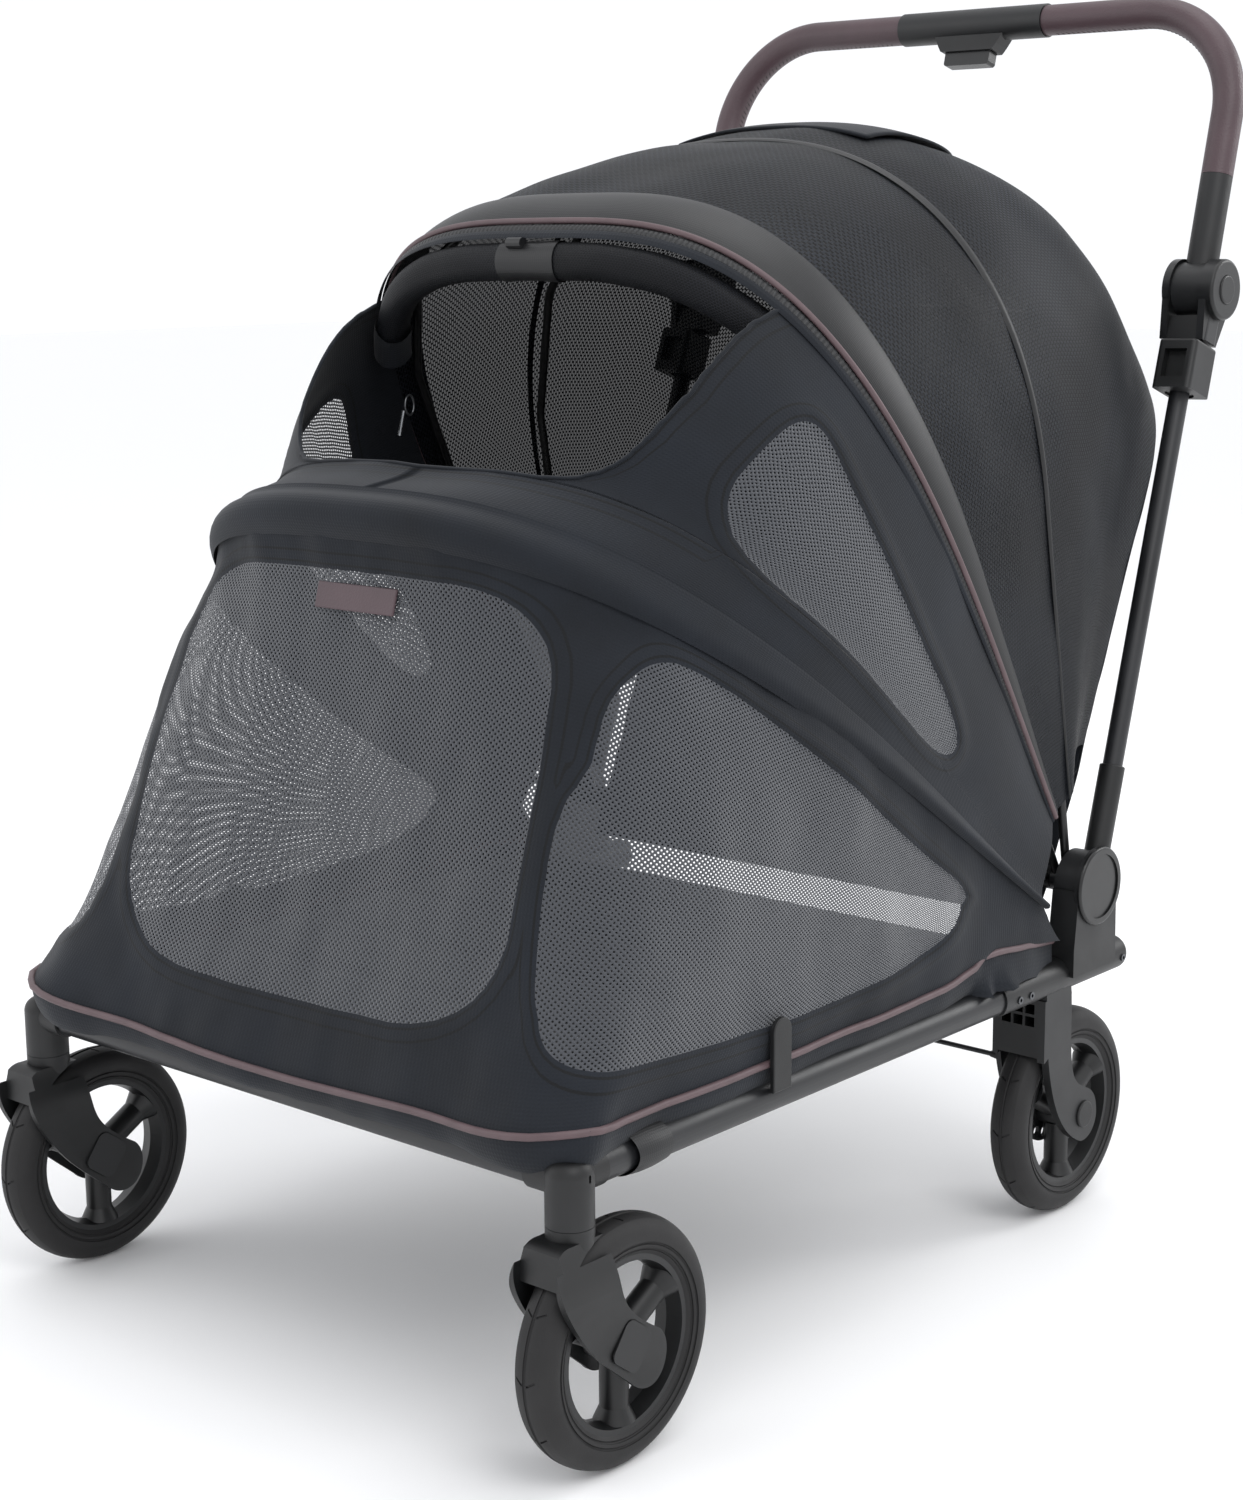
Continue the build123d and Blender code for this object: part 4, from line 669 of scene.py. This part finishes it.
def spacer_net(name, dark, thread_tone_and_highlight, pitch_mm, see_through):
    """Coarse double-layered net: staggered slots between glossy threads; the threads' colour is partly their
    own tone and partly painted highlight, brighter in cloudy patches.
    """
    material, tree, shader = new_material(name)
    uv = node(tree, "ShaderNodeUVMap", {"uv_map": "cloth"}).outputs[0]
    place = node(tree, "ShaderNodeTexCoord").outputs["Object"]
    pitch = pitch_mm * MM
    scaled = node(tree, "ShaderNodeMapping", {"Scale": (1 / pitch, 1.7 / pitch, 1)}, Vector=uv)
    slots = node(tree, "ShaderNodeTexBrick", {"offset": 0.5, "Color1": (1, 1, 1, 1), "Color2": (1, 1, 1, 1),
                                              "Mortar": (0, 0, 0, 1), "Scale": 1.0, "Mortar Size": 0.22,
                                              "Mortar Smooth": 0.6, "Brick Width": 1.0, "Row Height": 1.0},
                 Vector=scaled.outputs[0])
    cloud = node(tree, "ShaderNodeTexNoise", {"Scale": 7.0, "Detail": 4.0}, Vector=place)
    # painted highlight: a large cloud brightens the threads in patches, standing in for light falling
    # unevenly on the net
    painted_highlight_patches = node(tree, "ShaderNodeMapRange", {"From Min": 0.35, "From Max": 0.7, "To Min": 0.35, "To Max": 1.0},
               Value=cloud.outputs["Fac"])
    share = node(tree, "ShaderNodeMath", {"operation": "SUBTRACT", 0: 1.0}, i1=slots.outputs["Fac"])
    inner = node(tree, "ShaderNodeMath", {"operation": "MULTIPLY"},
                 i0=slots.outputs["Fac"], i1=painted_highlight_patches.outputs[0])
    # threads go from the dark hole colour towards a pale colour that is partly the threads' own tone and
    # partly painted highlight
    tone = node(tree, "ShaderNodeMix", {"data_type": "RGBA", 6: linear(dark), 7: linear(thread_tone_and_highlight)},
                i0=inner.outputs[0])
    bump = node(tree, "ShaderNodeBump", {"Strength": 0.7, "Distance": 0.0009}, Height=slots.outputs["Fac"])
    tree.links.new(tone.outputs[2], shader.inputs["Base Color"])
    tree.links.new(bump.outputs[0], shader.inputs["Normal"])
    shader.inputs["Roughness"].default_value = 0.55
    shader.inputs["Specular IOR Level"].default_value = 0.22
    holes = node(tree, "ShaderNodeMath", {"operation": "MULTIPLY", 1: see_through}, i0=share.outputs[0])
    through = node(tree, "ShaderNodeBsdfTransparent")
    mixed = node(tree, "ShaderNodeMixShader", i0=holes.outputs[0],
                 i1=shader.outputs[0], i2=through.outputs[0])
    tree.links.new(mixed.outputs[0], tree.nodes["Material Output"].inputs["Surface"])
    return material


# the second colour is partly the threads' own tone and partly painted highlight
canopy_net = spacer_net("black_spacer_net", "#040507", "#1d222a", 6.4, 0.10)
CANOPY_SLOPE, BACK_SLOPE = 79.6, 114.0
front_canopy_knots = [(57.6, 684, 310, 297, 186, 689, 3.3, 80), (63, 684, 310, 297, 225, 683, 3.05, 80),
                      (69.5, 684, 310, 297, 270, 676, 2.8, 80), (75, 684, 310, 296.5, 310, 670, 2.6, 80),
                      (79.6, 684, 310, 296, 346, 664, 2.4, 80)]
CANOPY_ROWS = 44
canopy = wrinkled(fan(front_canopy_knots, np.linspace(BAND_SLOPE, CANOPY_SLOPE, CANOPY_ROWS), HALF),
                  110.0, 2.6, (1, 1, 1), 5.5)
cabin_canopy = sheet_mesh("cabin_canopy", canopy)
cabin_canopy.data.materials.append(canopy_net)
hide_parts("canopy_front")
fold_rows(cabin_canopy, "band", "canopy", np.repeat(np.linspace(0, 1, CANOPY_ROWS), COLS))

rear_knots = [(79.6, 684, 310, 296, 346, 664, 2.4, 80), (85, 684, 310, 294, 348, 668, 2.4, 82),
              (91, 684, 310, 290, 350, 662, 2.4, 84), (100, 684, 310, 280, 370, 642, 2.5, 110),
              (107, 684, 310, 273, 370, 604, 2.6, 120), (114, 684, 310, 270, 370, 548, 2.6, 125)]
BACK_ROWS = 64
rear = wrinkled(fan(rear_knots, np.linspace(CANOPY_SLOPE, BACK_SLOPE, BACK_ROWS), HALF),
                110.0, 2.8, (1, 1, 1), 2.2)
cabin_rear = sheet_mesh("cabin_rear", rear)
cabin_rear.data.materials.append(canopy_net)
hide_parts("canopy_rear")
fold_rows(cabin_rear, "canopy", "push_frame", np.repeat(np.linspace(0, 1, BACK_ROWS), COLS))
canopy_binding = pocket("canopy_binding", [front_canopy_knots[-2], rear_knots[0], rear_knots[1]], 79.1, 80.1,
       (0.6, 1.6, 2.2, 2.2, 1.6, 0.6), "canopy", satin)

# Back panel: flat cloth inside the last arch, down to the floor of the cabin behind the pet.
a = math.radians(BACK_SLOPE)
last = rear[-1]
ring_r = (last[:, 1] - 684) * -math.cos(a) + (last[:, 2] - 310) * math.sin(a)
back_rows = []
for share_down in np.linspace(0, 1, 40):
    foot_x = np.clip(last[:, 0] * 0.985, -268, 268)
    r = ring_r * (1 - share_down) - 40 * share_down
    bulge = 3.0 * math.sin(share_down * math.pi)
    back_rows.append(np.stack([last[:, 0] * (1 - share_down) + foot_x * share_down,
                               684 - r * math.cos(a) + bulge, 310 + r * math.sin(a)], 1))
cabin_back = sheet_mesh("cabin_back", wrinkled(np.array(back_rows), 90.0, 2.4, seed=9.1))
cabin_back.data.materials.append(cabin_fabric)
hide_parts("back_panel")
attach(cabin_back, "push_frame")

# The vent flap lies on the rear canopy: a rounded tongue of doubled cloth, sewn on at the hoop.
FLAP_START, FLAP_END, FLAP_COLS = 84.0, 102.0, 44
flap_u = np.linspace(-1, 1, FLAP_COLS)
flap_rows = []
flap_slopes = np.linspace(FLAP_START, FLAP_END, 40)
for slope in flap_slopes:
    share_back = (slope - FLAP_START) / (FLAP_END - FLAP_START)
    half_width = 108 * (1 - share_back ** 5) ** 0.5 + 0.5
    rim = fan(rear_knots, [slope, slope + 0.01], 300)[0]
    run = np.r_[0, np.cumsum(np.linalg.norm(np.diff(rim, axis=0), axis=1))]
    places_run = run[-1] / 2 + flap_u * half_width
    row = np.stack([np.interp(places_run, run, rim[:, k]) for k in range(3)], 1)
    lift = 3.0 + 7.0 * share_back ** 2 + 3.0 * math.sin(share_back * 5.0)
    flap_rows.append(row + np.array([0, 0.25, 1.0]) * lift)
vent_flap = sheet_mesh("vent_flap", np.array(flap_rows))
vent_flap.data.materials.append(cabin_fabric)
thicken(vent_flap, 2.4)
flap_share = np.repeat((flap_slopes - CANOPY_SLOPE) / (BACK_SLOPE - CANOPY_SLOPE), FLAP_COLS)
fold_rows(vent_flap, "canopy", "push_frame", np.tile(flap_share, 2))

# ---------------------------------------------------------------- rolled net door over the opening
# The net door of the top opening is rolled up under the band hoop: a loose roll with cloth ends,
# held in the middle by an elastic loop with a toggle.
turns = np.radians(np.linspace(43, 137, 150))
roll_half, roll_top = 297 - 20, 689 - 20
roll_x = roll_half * np.sign(np.cos(turns)) * np.abs(np.cos(turns)) ** (2 / 3.3)
roll_r = 186 + (roll_top - 186) * np.sin(turns) ** (2 / 3.3)
a = math.radians(BAND_SLOPE - 2.2)
roll_line = np.stack([roll_x, 684 - roll_r * math.cos(a), 310 + roll_r * math.sin(a)], 1)
tangent = np.gradient(roll_line, axis=0)
tangent /= np.linalg.norm(tangent, axis=1, keepdims=True)
hinge_dir = np.array([0, math.sin(a), math.cos(a)])
side_dir = np.cross(tangent, hinge_dir)
ROLL_TURNS = 3
around = np.linspace(2 * math.pi * ROLL_TURNS, 0, 29 * ROLL_TURNS)
lumps = np.array([[1 + 0.09 * noise.noise(Vector((x / 45, turn_a * 0.8, 3.3))) for x in roll_x]
                  for turn_a in around])
pinch = 1 - 0.22 * np.exp(-(roll_x / 9.0) ** 2)
net_rows = []
for turn_a, lump in zip(around, lumps):
    spiral = 16.4 - 3.2 * (ROLL_TURNS - turn_a / (2 * math.pi)) + 0.7 * math.sin(3 * turn_a)
    radius = (spiral * lump * pinch)[:, None]
    net_rows.append(roll_line + radius * (math.cos(turn_a) * hinge_dir + math.sin(turn_a) * side_dir))
net_rows = np.array(net_rows)
rolled = sheet_mesh("rolled_net_door", net_rows)
door_net = spacer_net("rolled_door_net", "#050608", "#1c1e24", 3.0, 0.0)
rolled.data.materials.append(door_net)
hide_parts("rolled_door")
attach(rolled, "band")
for side, stretch in (("left", slice(0, 13)), ("right", slice(137, 150)), ("middle", slice(72, 78))):
    cover = []
    grow = 2.2 if side != "middle" else 1.2
    for turn_a, row in zip(around[:30], net_rows[:30]):
        outward = math.cos(turn_a) * hinge_dir + math.sin(turn_a) * side_dir[stretch]
        cover.append(row[stretch] + grow * outward)
    band_piece = sheet_mesh(f"roll_cover_{side}", np.array(cover))
    band_piece.data.materials.append(cabin_fabric if side != "middle" else satin)
    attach(band_piece, "band")
bpy.ops.mesh.primitive_cylinder_add(vertices=24, radius=0.0045, depth=0.016)
toggle = bpy.context.object
toggle.name = "roll_toggle"
toggle_place = roll_line[75] - 19 * np.array([0, math.cos(a), -math.sin(a)])
toggle.data.transform(Matrix.Translation(at(*toggle_place))
                      @ Matrix.Rotation(math.radians(90), 4, "Y"))
toggle.data.materials.append(gloss_nylon)
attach(toggle, "band")

# ---------------------------------------------------------------- straps, stitching and zip pull
# A webbing loop ties the skirt to each side tube, saddle stitches lace the inside of the grips,
# and the metal pull of the door's zip hangs at the rim on the pusher's right.
LOOP_FRONT, LOOP_BACK = 54, 92
for side, sign in (("left", 1), ("right", -1)):
    loop = []
    for turn_a in np.linspace(0, 2 * math.pi, 41):
        flat = 1 + 0.10 * math.cos(2 * turn_a)
        ring = []
        for y in np.linspace(LOOP_FRONT, LOOP_BACK, 9):
            bulge = 17.2 + 1.2 * math.sin((y - LOOP_FRONT) / (LOOP_BACK - LOOP_FRONT) * math.pi)
            ring.append((sign * 300 + bulge * flat * math.cos(turn_a), y + 4 * math.cos(turn_a) * sign,
                         234.5 + bulge * 1.02 * math.sin(turn_a)))
        loop.append(ring)
    strap = sheet_mesh(f"tube_loop_front_{side}", np.array(loop))
    strap.data.materials.append(satin)
    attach(strap, "frame")

thread, tree, shader = new_material("waxed_thread")
shader.inputs["Base Color"].default_value = linear("#2c2123")
shader.inputs["Roughness"].default_value = 0.6
tilt = np.array(joints["bar_tilt"]["pos_m"]) / MM
lean_back = math.radians(15.2)
leg = np.array([0, math.sin(lean_back), math.cos(lean_back)])
bar_in = np.array([0, -math.cos(lean_back), math.sin(lean_back)])
tilt_place = np.array([0, tilt[1] - STEM_Y / MM, tilt[2]])
corner = [(292.0 - 100 + 100 * math.cos(q), 263 - 100 + 100 * math.sin(q))
          for q in np.linspace(0, math.pi / 2, 40)]
leg_part = [(292.0, h) for h in np.linspace(108, 162, 22)]
cross_part = [(x, 263.0) for x in np.linspace(190, 90, 40)]
bow = np.array(leg_part + corner + cross_part)
run = np.r_[0, np.cumsum(np.hypot(*np.diff(bow, axis=0).T))]
stations = np.arange(4.0, run[-1] - 3, 5.6)
bow_x, bow_h = np.interp(stations, run, bow[:, 0]), np.interp(stations, run, bow[:, 1])
way = np.gradient(np.stack([bow_x, bow_h], 1), axis=0)
way /= np.linalg.norm(way, axis=1, keepdims=True)
for side, sign in (("left", 1), ("right", -1)):
    stitches = []
    for (x, h), (wx, wh) in zip(np.stack([bow_x, bow_h], 1), way):
        inner_x, inner_h = x - wh * 14.4, h + wx * 14.4
        for across_mm, along_mm in ((-3.4, -1.6), (0.0, 0.0), (3.4, 1.6)):
            sink = 0.0 if across_mm == 0 else 1.0
            px = inner_x + wx * along_mm + wh * sink
            ph = inner_h + wh * along_mm - wx * sink
            stitches.append(np.array([sign * px, 0, 0]) + tilt_place + leg * ph + bar_in * across_mm)
    lacing = [rope(f"lace_{side}_{k}", stitches[3 * k:3 * k + 3], 0.75, thread, resolution=1)
              for k in range(len(stitches) // 3)]
    select_only(lacing[0])
    for one in lacing:
        one.select_set(True)
    bpy.ops.object.join()
    lacing[0].name = f"grip_lacing_{side}"
    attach(lacing[0], "bar")

nickel = grained("nickel_zip_pull", "#7d7f82", "#b9bbbd", 0.28, 0.8, 0.05, metallic=1.0)
pull_top = np.array([-222.0, 372.0, 742.0])
ring_points = [pull_top + np.array([0, -5.5 * math.cos(q), -9 + 9 * math.sin(q)])
               for q in np.linspace(0, 2 * math.pi, 25)[:-1]]
zip_ring = rope("zip_pull_ring", ring_points, 1.0, nickel, closed=True)
bar_points = [pull_top + np.array([-1.0, -6.5 - 6 * t, -14 - 22 * t]) for t in np.linspace(0, 1, 8)]
zip_bar = rope("zip_pull_bar", bar_points, 2.1, nickel)
for one in (zip_ring, zip_bar):
    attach(one, "band")

# ---------------------------------------------------------------- floor cushion
# A quilted foam mat inside its cloth cover, lying on the floor board. Its foam block is swollen by
# a short cloth simulation, which pulls the sides in and crowns the top.
board_cloth = cabin_cloth("board_cover_cloth", net=False)
give(board_cloth, "floor_board")
mat_cloth, tree, shader = new_material("grey_brushed_cover")
place = node(tree, "ShaderNodeTexCoord").outputs["Object"]
cloud = node(tree, "ShaderNodeTexNoise", {"Scale": 12.0, "Detail": 5.0}, Vector=place)
fluff = node(tree, "ShaderNodeTexNoise", {"Scale": 700.0, "Detail": 2.0}, Vector=place)
tone = node(tree, "ShaderNodeMix", {"data_type": "RGBA", 6: linear("#17181b"), 7: linear("#26272a")},
            i0=cloud.outputs["Fac"])
bump = node(tree, "ShaderNodeBump", {"Strength": 0.35, "Distance": 0.0006}, Height=fluff.outputs["Fac"])
tree.links.new(tone.outputs[2], shader.inputs["Base Color"])
tree.links.new(bump.outputs[0], shader.inputs["Normal"])
shader.inputs["Roughness"].default_value = 0.9
shader.inputs["Sheen Weight"].default_value = 0.3
low_corner, high_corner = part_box("cushion")
middle = (low_corner + high_corner) / 2
size = high_corner - low_corner
bpy.ops.mesh.primitive_cube_add(size=1)
mat = bpy.context.object
mat.name = "floor_mat"
foam = Matrix.Diagonal((size.x - 0.020, size.y - 0.020, size.z - 0.010, 1))
mat.data.transform(Matrix.Translation(middle) @ foam)
rounding = mat.modifiers.new("rounded", "BEVEL")
rounding.width = 0.011
rounding.segments = 4
bpy.ops.object.modifier_apply(modifier="rounded")
remesh = mat.modifiers.new("even", "REMESH")
remesh.mode = "VOXEL"
remesh.voxel_size = 0.0060
bpy.ops.object.modifier_apply(modifier="even")
start = np.array([v.co for v in mat.data.vertices])
swell = mat.modifiers.new("swell", "CLOTH")
swell.settings.use_pressure = True
swell.settings.uniform_pressure_force = 4
swell.settings.effector_weights.gravity = 0
for frame_number in range(1, 15):
    bpy.context.scene.frame_set(frame_number)
select_only(mat)
bpy.ops.object.modifier_apply(modifier="swell")
bpy.context.scene.frame_set(1)
swollen = np.array([v.co for v in mat.data.vertices])
moved = swollen - start
far = np.linalg.norm(moved, axis=1, keepdims=True)
start = start + moved * np.minimum(1, 0.006 / np.maximum(far, 1e-6))
quilt = np.zeros(len(start))
for line_y in np.linspace(low_corner.y, high_corner.y, 6)[1:-1]:
    quilt = np.maximum(quilt, np.exp(-((start[:, 1] - line_y) / 0.007) ** 2))
top_share = np.clip((start[:, 2] - middle.z) / (size.z / 2), 0, 1)
start[:, 2] -= 0.006 * quilt * top_share
start[:, 2] = np.clip(start[:, 2], low_corner.z + 0.0005, high_corner.z + 0.004)
mat.data.vertices.foreach_set("co", start.reshape(-1))
for face in mat.data.polygons:
    face.use_smooth = True
mat.data.materials.append(mat_cloth)
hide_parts("cushion")
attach(mat, "frame")
